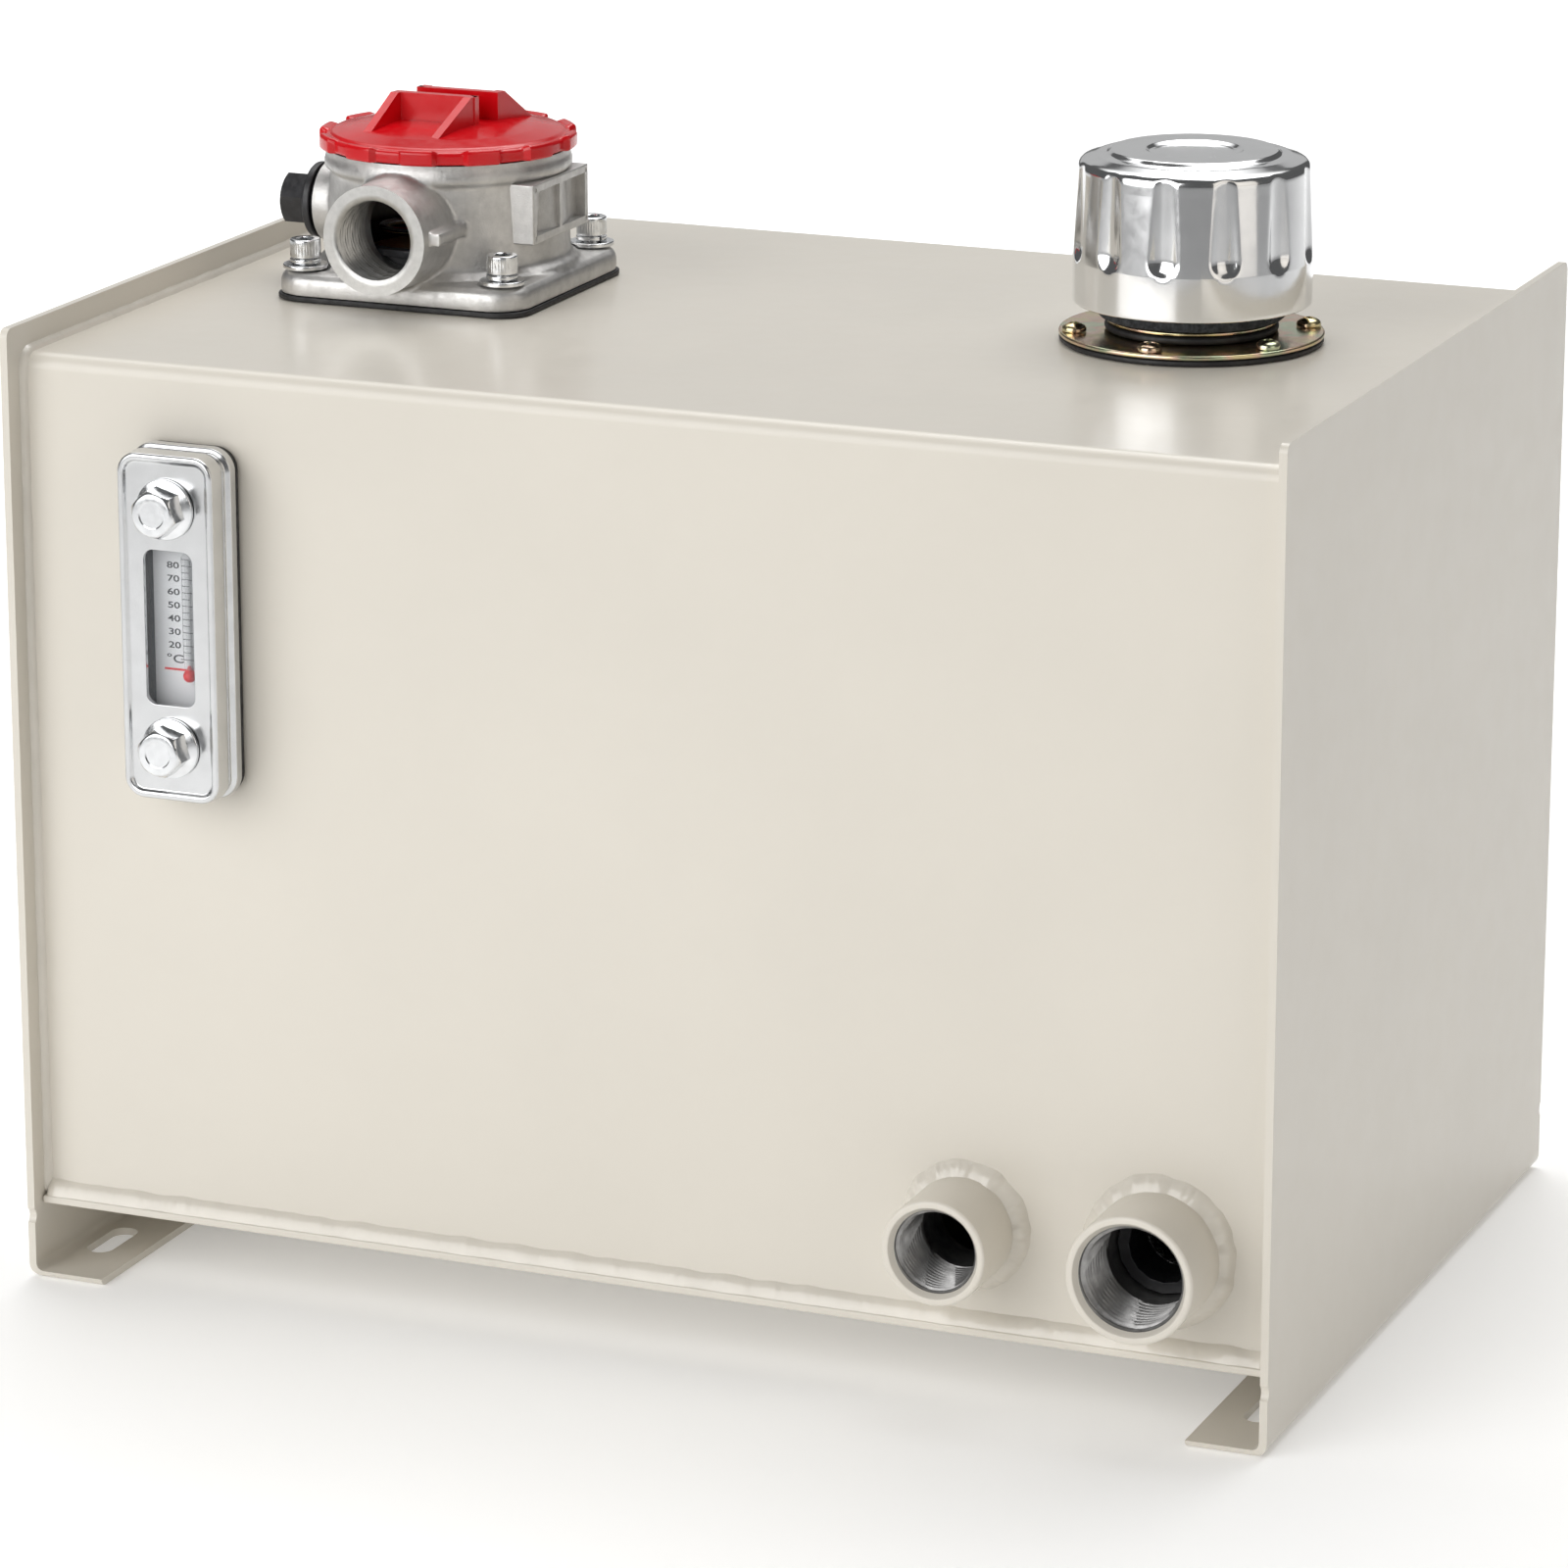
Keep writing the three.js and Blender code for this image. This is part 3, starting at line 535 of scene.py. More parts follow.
def black_moulding():
    m = Material("black plastic", (0.022, 0.022, 0.024), 0.38)
    m.mottle(m.noise(4, 3), 0.8, 1.5)
    m.polish(m.noise(1.5, 3), 0.3, 0.5)
    m.bump(m.noise(0.6, 3), 0.035)
    return m.made


def clear_moulding():
    m = Material("clear plastic", (0.55, 0.58, 0.6), 0.05)
    m.mottle(m.noise(12, 2), 0.97, 1.0)
    m.polish(m.noise(5, 2), 0.04, 0.09)
    m.set("Alpha", 0.07)
    m.set("IOR", 1.49)
    return m.made


def thermometer_glass():
    m = Material("thermometer glass", (0.80, 0.83, 0.85), 0.08)
    m.mottle(m.noise(6, 2), 0.95, 1.0)
    m.polish(m.noise(3, 2), 0.05, 0.1)
    m.set("Alpha", 0.1)
    m.set("IOR", 1.5)
    return m.made


def printed_card():
    m = Material("white card", (0.83, 0.84, 0.86), 0.5)
    m.mottle(m.noise(9, 3), 0.97, 1.02)
    m.polish(m.noise(2, 3), 0.42, 0.58)
    m.bump(m.noise(0.5, 2), 0.01)
    return m.made


def print_ink(name, colour):
    m = Material(name, colour, 0.45)
    m.mottle(m.noise(1.5, 3), 0.85, 1.2)
    m.polish(m.noise(1, 2), 0.38, 0.55)
    return m.made


def pleated_paper():
    m = Material("filter paper", (0.78, 0.68, 0.44), 0.85)
    m.mottle(m.noise(2.5, 5, 0.7), 0.88, 1.08)
    m.bump(m.noise(0.5, 4), 0.08)
    m.bump(m.level_bands(3.0), 0.1)
    return m.made


def woven_wire():
    m = Material("woven wire", (0.5, 0.5, 0.49), 0.4, 0.9)
    weave = m.cells(0.9)
    m.tint(weave, (0.25, (0.6, 0.6, 0.58)), (0.6, (0.1, 0.1, 0.1)))
    m.polish(m.noise(1, 3), 0.3, 0.5)
    m.bump(weave, -0.25)
    return m.made


def open_foam():
    m = Material("grey open foam", (0.055, 0.06, 0.066), 0.95)
    m.mottle(m.noise(2, 3), 0.6, 1.5)
    m.bump(m.cells(1.1), 0.6)
    return m.made


def pale_floor():
    m = Material("pale floor", (0.93, 0.93, 0.925), 0.7)
    m.mottle(m.noise(400, 3), 0.99, 1.01)
    m.set("Emission Color", (1, 1, 1, 1))
    m.set("Emission Strength", 0.19)
    return m.made


PAINT = powder_coat()
WELD = weld_coat()
CHROME = chrome_plate()
SATIN = pressed_chrome()
YELLOW = yellow_zinc()
ZINC = bright_zinc()
CAST = cast_metal()
MACHINED = machined_metal()
THREAD = thread_metal()
RED = red_moulding()
RUBBER = black_rubber()
BLACK = black_moulding()
CLEAR = clear_moulding()
GLASS = thermometer_glass()
CARD = printed_card()
INK = print_ink("black ink", (0.02, 0.02, 0.025))
RED_INK = print_ink("red spirit", (0.75, 0.015, 0.02))
PAPER = pleated_paper()
WIRE = woven_wire()
FOAM = open_foam()


# ---- tank sheets ----
def end_plate(node):
    """The plate over one end, bent inward at the bottom into a slotted foot. The left one is mirrored."""
    box = Box(node)
    outer = max(abs(box.low.x), abs(box.high.x))
    foot_end = min(abs(box.low.x), abs(box.high.x))
    section = rounded([
        (foot_end, 0), (outer, 0, BEND), (outer, box.high.z), (outer - SHEET, box.high.z),
        (outer - SHEET, SHEET, BEND - SHEET), (foot_end, SHEET),
    ], steps=8, closed=True)
    plate = moved(prism(section, -box.high.y, -box.low.y), FACING_FRONT)
    slot_length, slot_width, from_side, from_end = 25, 9, 11.5, 35
    slot = rounded_rectangle(slot_width / 2, slot_length / 2, slot_width / 2 - 0.01, 12)
    tools = []
    for y in (box.low.y + from_end, box.high.y - from_end):
        tools.append(shifted(prism(slot, -1, SHEET + 1), outer - from_side, y))
    relief, proud = 3, 1.8
    notch_z = Box("bottom_plate").low.z - relief
    for y in (box.low.y - proud, box.high.y + proud):
        notch = spun(rod(relief, -SHEET, SHEET), 90, "Y")
        tools.append(shifted(notch, outer - SHEET, y, notch_z))
    half_height, corner_radius = box.size.z / 2, 3
    outline = rounded_rectangle(half_height, box.size.y / 2, corner_radius)
    inside = spun(prism(outline, foot_end - 1, outer + 1), 90, "Y")
    shifted(inside, 0, box.middle.y, half_height)
    cut(plate, *tools)
    combine(plate, [inside], "INTERSECT")
    soften(plate, 0.55, 3)
    if box.middle.x < 0:
        moved(plate, Matrix.Scale(-1, 4, (1, 0, 0)))
    return place(plate, node + "_sheet", Matrix(), node, PAINT)


def wrap_outline(outer=0.0):
    """The front, top and rear sheet's outer face, from the front's foot to the rear's, as (y, z) points."""
    return rounded([
        (WRAP.low.y - outer, WRAP.low.z), (WRAP.low.y - outer, WRAP.high.z + outer, BEND + outer),
        (WRAP.high.y + outer, WRAP.high.z + outer, BEND + outer), (WRAP.high.y + outer, WRAP.low.z),
    ], steps=8)


def tank_wrap():
    section = wrap_outline() + list(reversed(wrap_outline(-SHEET)))
    wrap = moved(prism(section, WRAP.low.x, WRAP.high.x), FACING_RIGHT)
    tools = []

    def drill(radius, steps, where):
        tools.append(moved(rod(radius, -SHEET * 2, SHEET, steps), where))

    for node in ("small_port", "large_port"):
        drill(Box(node).size.x / 2 + GAP, 64, on_front(Box(node)))
    for end in ("upper", "lower"):
        drill(STUD_HOLE, 48, on_front(Box("gauge_bolt_" + end)))
    drill(BOWL_HOLE, 72, on_top(Box("filter_bowl")))
    drill(BASKET_HOLE, 72, on_top(Box("filler_basket")))
    for i in range(1, 5):
        drill(BOLT_HOLE, 24, on_top(Box(f"filter_screw_{i}")))
    for i in range(1, 7):
        drill(SCREW_HOLE, 24, on_top(Box(f"filler_screw_{i}")))
    cut(wrap, *tools)
    soften(wrap, 0.3, 2)
    return place(wrap, "tank_wrap_sheet", Matrix(), "tank_wrap", PAINT)


def bottom_plate():
    box = Box("bottom_plate")
    plate = block(box.low, box.high)
    soften(plate, 0.6, 3)
    return place(plate, "bottom_plate_sheet", Matrix(), "bottom_plate", PAINT)


# ---- weld beads ----
def bead(path, up, out, size_up, size_out, ripple, seed, loop=False):
    """A lumpy fillet along a path of points. up and out give its two faces' directions at each point."""
    steps = 9
    sunk = 0.12                  # the bead's root goes this far into the corner
    ripples, lumps, swell = 0.01, 0.05, 0.16    # shares of the bead's size
    rings = []
    run = 0.0
    count = len(path)
    for i, point in enumerate(path):
        if i:
            run += (point - path[i - 1]).length
        turn = 2 * math.pi * i / count
        if loop:
            drift = Vector((math.cos(turn), math.sin(turn), seed)) * count * 0.02
        else:
            drift = Vector((run / 9, 0, seed))
        slow = noise.noise(drift)
        quick = noise.noise(drift * 3.7)
        taper = 1 if loop else min(1, 0.55 + 0.25 * min(i, count - 1 - i))
        ring = []
        for k in range(steps):
            angle = math.pi / 2 * k / (steps - 1)
            chord = 1 / (math.cos(angle) + math.sin(angle))
            bulge = 0.45 + 0.25 * slow
            middle = math.sin(2 * angle)
            chevron = math.sin(2 * math.pi * run / ripple + 2.2 * middle)
            reach = chord + (1 - chord) * bulge + ripples * middle * chevron + lumps * quick * middle
            reach *= taper * (1 + swell * slow)
            ring.append(point + up(i) * (math.sin(angle) * reach * size_up)
                        + out(i) * (math.cos(angle) * reach * size_out))
        ring.append(point - up(i) * sunk - out(i) * sunk)
        rings.append(ring)
    return skin(rings, joined=loop)


def bottom_welds():
    """Along the bottom plate's lip, in front and behind."""
    lip = Box("bottom_plate")
    for name, y, face, seed in (("front", WRAP.low.y, lip.low.y, 3), ("rear", WRAP.high.y, lip.high.y, 8)):
        path = dense([Vector((x, y, lip.high.z)) for x in (WRAP.low.x + 0.2, WRAP.high.x - 0.2)], 0.7)
        up, out = Vector((0, 0, 1)), Vector((0, 1 if face > y else -1, 0))
        made = bead(path, lambda i: up, lambda i: out, size_up=4.6, size_out=abs(face - y) * 0.86, ripple=3.4,
                    seed=seed)
        place(made, f"weld_bottom_{name}", Matrix(), "bottom_plate", WELD, stands_for=False, angle=70)


def side_welds():
    """Along the front, top and rear sheet, where it meets each end plate."""
    line = dense(wrap_outline(), 0.8)
    normals = []
    for i in range(len(line)):
        along = line[min(i + 1, len(line) - 1)] - line[max(i - 1, 0)]
        normals.append(Vector((0, -along.y, along.x)).normalized())
    for name, x, side, seed in (("right", WRAP.high.x, -1, 5), ("left", WRAP.low.x, 1, 6)):
        path = [Vector((x - side * GAP, p.x, p.y)) for p in line]
        out = Vector((side, 0, 0))
        made = bead(path, lambda i: normals[i], lambda i: out, size_up=1.9, size_out=2.1, ripple=3.1,
                    seed=seed)
        place(made, f"weld_{name}_end", Matrix(), "tank_wrap", WELD, stands_for=False, angle=70)


def port_weld(node, seed):
    """The ring of weld round a port's root."""
    box = Box(node)
    radius = box.size.x / 2
    spokes = [Vector((math.cos(a), math.sin(a), 0)) for a in angles(260)]
    path = [spoke * radius for spoke in spokes]
    made = bead(path, lambda i: spokes[i], lambda i: Vector((0, 0, 1)), size_up=4.3, size_out=3.8, ripple=2.3,
                seed=seed, loop=True)
    place(made, f"weld_{node}", on_front(box), node, WELD, stands_for=False, angle=70)


# ---- threads ----
def thread_height(z, angle, pitch):
    """From 0 at the root of the thread to 1 at its crest, both a little flat."""
    turn = (z / pitch + angle / (2 * math.pi)) % 1
    return min(1, max(0, 1.25 * (1 - abs(2 * turn - 1)) - 0.125))


def pipe_port(node, bore, crest, pitch):
    """A welded coupling: painted outside, bare threads inside."""
    box = Box(node)
    outer = box.size.x / 2
    back, face = box.depths()
    root = bore + crest
    thread_front = face - 2.2
    thread_back = face - 24
    outside = rounded([
        (root + 0.2, back + 1), (root + 1, back), (outer, back, 0.8), (outer, face, 1.3),
        (root + 1.3, face, 0.6), (root + 0.15, thread_front + 0.2, 0.3), (root, thread_front),
    ], steps=5)
    rows_per_turn = 8
    rows = math.ceil((thread_front - thread_back) / pitch * rows_per_turn)
    threads = [(root, thread_front + (thread_back - thread_front) * k / rows) for k in range(1, rows + 1)]
    inside = [(bore + 0.1, thread_back - 0.6), (bore + 0.1, back + 1)]
    profile = [tuple(p) for p in outside] + threads + inside

    def shape(radius, z, angle):
        if not thread_back <= z < thread_front or radius > root:
            return radius
        fade = min(1, (thread_front - z) / pitch)
        return radius - crest * fade * thread_height(z, angle, pitch)

    finishes = [0] * (len(outside) - 1) + [1] * (len(profile) - len(outside) + 1)
    made = turned(profile, 112, shape, joined=True, finishes=finishes)
    return place(made, node + "_coupling", on_front(box), node, PAINT, THREAD, angle=50)


# ---- hexagons and fasteners ----
def hexagon(across_flats, edge):
    """A shape for turned(): the smaller of a hexagon and the given radius."""
    apothem = across_flats / 2

    def shape(radius, z, angle):
        if radius <= edge:
            return radius
        off = (angle + math.pi / 6) % (math.pi / 3) - math.pi / 6
        return min(radius, apothem / math.cos(off))

    return shape


def hex_profile(across_flats, z0, z1, face, drop):
    """From the axis over a hexagon's turned chamfer down to its foot: face is the flat's radius."""
    corner = across_flats / math.sqrt(3) + 0.01
    rows = 7
    chamfer = [(face + (corner - face) * k / rows, z1 - drop * (k / rows) ** 1.6) for k in range(rows + 1)]
    return [(0, z1)] + chamfer + [(corner, z0)]


def gauge_bolt(end):
    """A flange bolt: round washer face, hexagon with a turned chamfer, stud through the sheet."""
    node = "gauge_bolt_" + end
    box = Box(node)
    seat = FRONT - Box("gauge_cover").low.y - 0.7
    tip, high = box.depths()
    flange = box.size.x / 2
    stud, core = 3, 6.6
    washer = turned(rounded([
        (0, high - 1.5), (core, high - 1.5), (core, seat + 2.3, 0.8), (flange, seat + 1.1, 0.5),
        (flange, seat), (stud, seat), (stud, tip + 1), (stud - 0.8, tip), (0, tip),
    ], steps=5))
    across, foot = 13.6, seat + 1.4
    profile = hex_profile(across, foot, high, 6.1, 1.7) + [(0, foot)]
    head = spun(turned(profile, 144, hexagon(across, 6.0)), 14)
    dish, bed = 4.4, high - 0.3
    cut(head, turned([(0, high + 1), (dish, high + 1), (dish, high - 0.05), (4.0, bed), (0, bed)], 64))
    return place(merge(washer, head), node + "_bright", on_front(box), node, ZINC, angle=28)


def gauge_nut(end):
    node = "gauge_nut_" + end
    box = Box(node)
    low, high = box.depths()
    across = 16
    profile = hex_profile(across, low, high, 7.4, 0.9) + [(0, low)]
    body = turned(profile, 96, hexagon(across, 7.3))
    cut(body, rod(STUD_HOLE, low - 1, high + 1))
    return place(body, node + "_bright", on_front(box), node, ZINC, angle=28)


def socket_screw(i):
    """A hexagon socket cap screw with a knurled head."""
    node = f"filter_screw_{i}"
    box = Box(node)
    tip, high = box.heights()
    radius = box.size.x / 2
    head = high - 6
    shank = 3
    key = 5                      # across the socket's flats
    ridges, ridge_depth = 36, 0.14

    def knurl(r, z, angle):
        if not head + 1 < z < high - 1.2 or r <= radius - 0.05:
            return r
        return r - ridge_depth * (0.5 + 0.5 * math.cos(ridges * angle))

    profile = [(p.x, p.y) for p in dense(rounded([
        (0, high), (radius, high, 0.55), (radius, head, 0.3), (shank, head), (shank, tip + 0.8),
        (shank - 0.7, tip), (0, tip),
    ], steps=4), 1.6)]
    body = turned(profile, ridges * 4, knurl)
    socket = prism(circle(key / math.sqrt(3), 6), high - 3.2, high + 1)
    lead_in = turned([(0, high + 0.2), (3.15, high + 0.2), (2.3, high - 0.55), (0, high - 0.55)], 48)
    cut(body, socket, lead_in)
    return place(spun(body, 17 * i), node + "_bright", on_top(box), node, ZINC, angle=35)


def flat_washer(i):
    node = f"filter_flat_washer_{i}"
    box = Box(node)
    low, high = box.heights()
    radius = box.size.x / 2
    made = turned(band(BOLT_HOLE, radius, low, high, (0.1, 0.2, 0.45, 0.15), 3), 72, joined=True)
    return place(made, node + "_bright", on_top(box), node, ZINC)


def spring_washer(i):
    """A split washer, its two ends slightly apart in height."""
    node = f"filter_spring_washer_{i}"
    box = Box(node)
    low, high = box.heights()
    middle = (low + high) / 2
    spring = 0.12                # each end stands this far off the middle
    half = (high - low) / 2 - spring
    outer, inner = 5.1, BOLT_HOLE
    gap = math.radians(10)
    section = band(inner, outer, -half, half, (0.15, 0.15, 0.2, 0.15), 3)
    rings = []
    steps = 64
    for k in range(steps + 1):
        angle = gap / 2 + (2 * math.pi - gap) * k / steps
        lift = middle + spring * (2 * k / steps - 1)
        rings.append([Vector((p.x * math.cos(angle), p.x * math.sin(angle), p.y + lift)) for p in section])
    made = spun(skin(rings), 110 * i)
    return place(made, node + "_bright", on_top(box), node, ZINC)


def pan_screw(i):
    """A cross recessed pan head screw."""
    node = f"filler_screw_{i}"
    box = Box(node)
    tip, high = box.heights()
    seat = high - 2.7
    radius = box.size.x / 2 - 0.02
    shank = 2.2
    rise, side = 2.1, seat + 0.55
    turns = angles(9, math.pi / 2) + [math.pi / 2]
    dome = [(radius * math.sin(a), side + rise * math.cos(a)) for a in turns]
    body = turned(dome + [(radius, seat), (shank, seat), (shank, tip + 0.8), (1.5, tip), (0, tip)], 64)
    reach, half = 1.1, 0.55
    plan = ((-reach, -half), (reach, -half), (reach, half), (-reach, half))
    tools = []
    for turn in (0, 90):
        arm = skin([
            [Vector((x * 0.8, y * 0.7, high - 1.9)) for x, y in plan],
            [Vector((x * 2.1, y * 1.25, high + 0.3)) for x, y in plan],
        ])
        tools.append(spun(arm, turn))
    cut(body, *tools)
    return place(spun(body, 37 * i), node + "_zinc", on_top(box), node, YELLOW, angle=35)


# ---- level gauge ----
GAUGE = Box("gauge_cover")
BOLT_OFF = Box("gauge_bolt_upper").middle.z - GAUGE.middle.z
WINDOW = (8.4, 24.7, 3.4)        # half width, half height and corner radius
CARD_FACE = FRONT - Box("gauge_scale_card").low.y   # the printed face, out of the front sheet


def stud_holes(radius, low, high):
    """What cuts the holes round the gauge's two bolts."""
    return [shifted(rod(radius, low - 1, high + 1), 0, end * BOLT_OFF) for end in (1, -1)]


def strip(bm, rings):
    """Adds the faces between rings of as many points each. Gives back the last ring's vertices."""
    rows = [[bm.verts.new(point) for point in ring] for ring in rings]
    for lower, upper in zip(rows, rows[1:]):
        for k in range(len(lower)):
            n = (k + 1) % len(lower)
            bm.faces.new((lower[k], lower[n], upper[n], upper[k]))
    return rows[-1]


def filled_face(outer, holes):
    """A flat face inside one outline with holes in it, as a mesh in its plane at height 0."""
    bm = bmesh.new()
    edges = []
    for outline in [outer, *holes]:
        corners = [bm.verts.new((p[0], p[1], 0)) for p in outline]
        edges += [bm.edges.new((a, b)) for a, b in zip(corners, corners[1:] + corners[:1])]
    bmesh.ops.triangle_fill(bm, use_beauty=True, use_dissolve=False, edges=edges)
    return bm


def gauge_cover():
    """A pressed frame: deep sides, a rolled rim, a sunk panel with a window and two bolt holes."""
    half_x, half_y = GAUGE.size.x / 2, GAUGE.size.z / 2
    back, front = GAUGE.depths()
    panel = front - 1.1
    radius = 7.4
    wall = 1.0
    side = rounded([
        (0, back), (0, back + 3.2, 0.8), (1.7, back + 4.2, 0.7), (0.5, back + 8, 5), (0.9, front, 1.7),
        (2.9, front, 1.1), (3.6, panel, 0.9), (4.4, panel),
    ], steps=5)
    bm = bmesh.new()
    rings = []
    for inset, z in side:
        outline = rounded_rectangle(half_x - inset, half_y - inset, max(radius - inset, 0.4), 10)
        rings.append(at_height(outline, z))
    edge = [(v.co.x, v.co.y) for v in strip(bm, rings)]
    x, y, corner = WINDOW
    lip = 0.5
    window = rounded_rectangle(x + lip, y + lip, corner + lip, 10)
    bolts = [circle(STUD_HOLE, 40, (0, end * BOLT_OFF)) for end in (1, -1)]
    flat = filled_face(edge, [window, *bolts])
    for v in flat.verts:
        v.co.z = panel
    mesh = bpy.data.meshes.new("panel")
    flat.to_mesh(mesh)
    flat.free()
    bm.from_mesh(mesh)
    turn_in = rounded([(lip, panel), (0, panel, 0.5), (0, panel - 1.5)], steps=4)
    strip(bm, [at_height(rounded_rectangle(x + grow, y + grow, corner + grow, 10), z) for grow, z in turn_in])
    made = new_object("cover", bm)
    outward = sum(f.normal.z * f.area for f in made.data.polygons if abs(f.center.z - panel) < 0.01)
    if outward < 0:
        made.data.flip_normals()
    thick = made.modifiers.new("sheet", "SOLIDIFY")
    thick.thickness = wall
    thick.offset = -1
    thick.use_even_offset = False
    settle(made)
    return place(made, "gauge_cover_pressed", on_front(GAUGE), "gauge_cover", SATIN, angle=40)


def gauge_backing():
    box = Box("gauge_backing")
    low, high = box.depths()
    seal_hole = 8.4
    layers = [(0.5, low), (0, low + 0.5), (0, high - 0.6), (0.6, high)]
    body = pillow(box.size.x / 2, box.size.z / 2, 7, layers, 10)
    cut(body, *stud_holes(seal_hole, low, high))
    return place(body, "gauge_backing_rubber", on_front(box), "gauge_backing", RUBBER)


def gauge_lens():
    """The moulding under the cover: side walls round a tunnel, in black plastic as painted shade for the dark
    seen inside the clear moulding, closed by a clear pane.
    """
    box = Box("gauge_lens")
    low, high = box.depths()
    layers = [(0.3, low), (0, low + 0.4), (0, high - 0.4), (0.4, high)]
    body = pillow(box.size.x / 2, box.size.z / 2, 5, layers, 10)
    x, y, corner = WINDOW
    tunnel = prism(rounded_rectangle(x + 1.1, y + 0.8, corner, 10), CARD_FACE - 1, high + 1)
    pocket = prism(rounded_rectangle(9.8, 31, 3, 6), low - 1, CARD_FACE + 4.2)
    cut(body, tunnel, pocket, *stud_holes(STUD_HOLE, low, high))
    # The walls are black as painted shade: they stand for the shadow seen through the window beside the card.
    place(body, "gauge_lens_walls_painted_shade", on_front(box), "gauge_lens", BLACK)
    back = high - 1.4
    layers = [(0.3, back), (0, back + 0.3), (0, high - 0.3), (0.3, high)]
    pane = pillow(x + 0.2, y + 0.2, corner, layers, 10)
    place(pane, "gauge_lens_pane", on_front(box), "gauge_lens", CLEAR, stands_for=False)


def flat_text(words, height, x, y, z):
    """Wide lettering of that cap height with its left lower corner at x, y, raised a hair over z."""
    size_over_height, wide = 1.42, 1.55
    curve = bpy.data.curves.new("text", "FONT")
    curve.body = words
    curve.size = height * size_over_height
    curve.extrude = 0.03
    curve.offset = 0.045         # makes the strokes bolder
    text = bpy.data.objects.new("text", curve)
    bpy.context.scene.collection.objects.link(text)
    depsgraph = bpy.context.evaluated_depsgraph_get()
    mesh = bpy.data.meshes.new_from_object(text.evaluated_get(depsgraph))
    bpy.data.objects.remove(text)
    made = bpy.data.objects.new("text", mesh)
    bpy.context.scene.collection.objects.link(made)
    return shifted(moved(made, Matrix.Scale(wide, 4, (1, 0, 0))), x, y, z)


def gauge_scale():
    """A white card with a temperature scale from 20 to 80 degrees."""
    box = Box("gauge_scale_card")
    low, high = box.depths()
    layers = [(0.1, low), (0, low + 0.1), (0, high - 0.12), (0.12, high)]
    card = pillow(box.size.x / 2, box.size.z / 2, 2, layers, 6)
    place(card, "gauge_scale_card_white", on_front(box), "gauge_scale_card", CARD)
    step = 4.26                  # between two tens
    first = -7.3                 # height of 20 degrees

    def printed(x0, y0, x1, y1, proud=0.04):
        return block((x0, y0, CARD_FACE - 0.02), (x1, y1, CARD_FACE + proud))

    prints = []
    for i, degrees in enumerate(range(20, 90, 10)):
        prints.append(flat_text(str(degrees), 2.0, -4.5, first + i * step - 0.9, CARD_FACE))
    prints.append(flat_text("°C", 2.6, -5.4, first - 5.6, CARD_FACE))
    line, short, long = 0.26, 2.6, 3.6
    left = 0.6
    for i in range(15):
        y = first + (i - 1) * step / 2
        reach = long if i % 2 else short
        prints.append(printed(left, y - line / 2, left + reach, y + line / 2))
    spine = 0.12
    foot = first - 4.3
    prints.append(printed(left, foot, left + spine, first + 6.7 * step))
    prints.append(printed(left - 0.9, foot - line, left + long, foot))
    place(merge(*prints), "gauge_scale_print", on_front(box), "gauge_scale_card", INK, stands_for=False)
    mark = printed(-6.0, -15.4, 3.6, -14.7, 0.05)
    place(mark, "gauge_low_mark", on_front(box), "thermometer_spirit", RED_INK, stands_for=False)


def thermometer():
    """An upright glass tube, with red spirit in a bulb at its foot."""
    standing = Matrix.Rotation(-math.pi / 2, 4, "X")
    tube = Box("thermometer_tube")
    where = on_front(tube) @ Matrix.Translation((0, 0, FRONT - tube.middle.y)) @ standing
    half = tube.size.z / 2
    radius = tube.size.x / 2
    bore = 0.95
    glass = turned(rounded([
        (bore, -half), (radius, -half, 0.3), (radius, half, 1.2), (0, half), (0, half - 1.6),
        (bore, half - 2.4, 0.5), (bore, -half),
    ], steps=5), 48)
    place(glass, "thermometer_tube_glass", where, "thermometer_tube", GLASS, angle=50)
    spirit = Box("thermometer_spirit")
    where = on_front(spirit) @ Matrix.Translation((0, 0, FRONT - spirit.middle.y)) @ standing
    bulb = spirit.size.x / 2 + 0.35
    foot = -spirit.size.z / 2 - 0.3
    low = [(bulb * math.sin(a), foot + bulb - bulb * math.cos(a)) for a in angles(20, math.pi)[:17]]
    level = foot + 2 * bulb + 1.2
    stem = 0.6
    column = low + [(stem, level - 0.6), (stem, level - 0.3), (stem / 2, level), (0, level)]
    place(turned(column, 40), "thermometer_spirit_red", where, "thermometer_spirit", RED_INK, angle=60)


def torus(middle, thick, height=0.0):
    """A ring of round section about z."""
    section = [(middle + thick * math.cos(a), height + thick * math.sin(a)) for a in angles(16)]
    return turned(section, 72, joined=True)


def rubber_ring(node, where, name):
    """A ring of round section that fills its CAD node's box."""
    sizes = sorted(Box(node).size)
    thick = sizes[0] / 2
    return place(torus(sizes[2] / 2 - thick, thick), name, where, node, RUBBER, angle=60)


# ---- filler breather ----
FILLER = Box("cap_gasket")
CAP = Box("cap_shell")
FLUTES, FIRST_FLUTE, FLUTE_RADIUS, FLUTE_DEPTH = 12, 4.6, 8.0, 2.0


def screw_places(stem, count, centre):
    """Where numbered screws stand, from a centre."""
    return [Box(f"{stem}_{i}").middle - centre for i in range(1, count + 1)]


def filler_gasket():
    """A rubber ring, squeezed out a little unevenly."""
    box = Box("filler_gasket")
    low, high = box.heights()
    radius, bore = box.size.x / 2, 30

    def squeezed(r, z, angle):
        wave = noise.noise(Vector((math.cos(angle) * 2.5, math.sin(angle) * 2.5, 4)))
        return r + (0.35 * wave - 0.3 if r > radius - 4 else 0)

    made = turned(band(bore, radius, low, high, (0, 0.5, 0.6, 0)), 144, squeezed, joined=True)
    return place(made, "filler_gasket_rubber", on_top(FILLER), "filler_gasket", RUBBER)


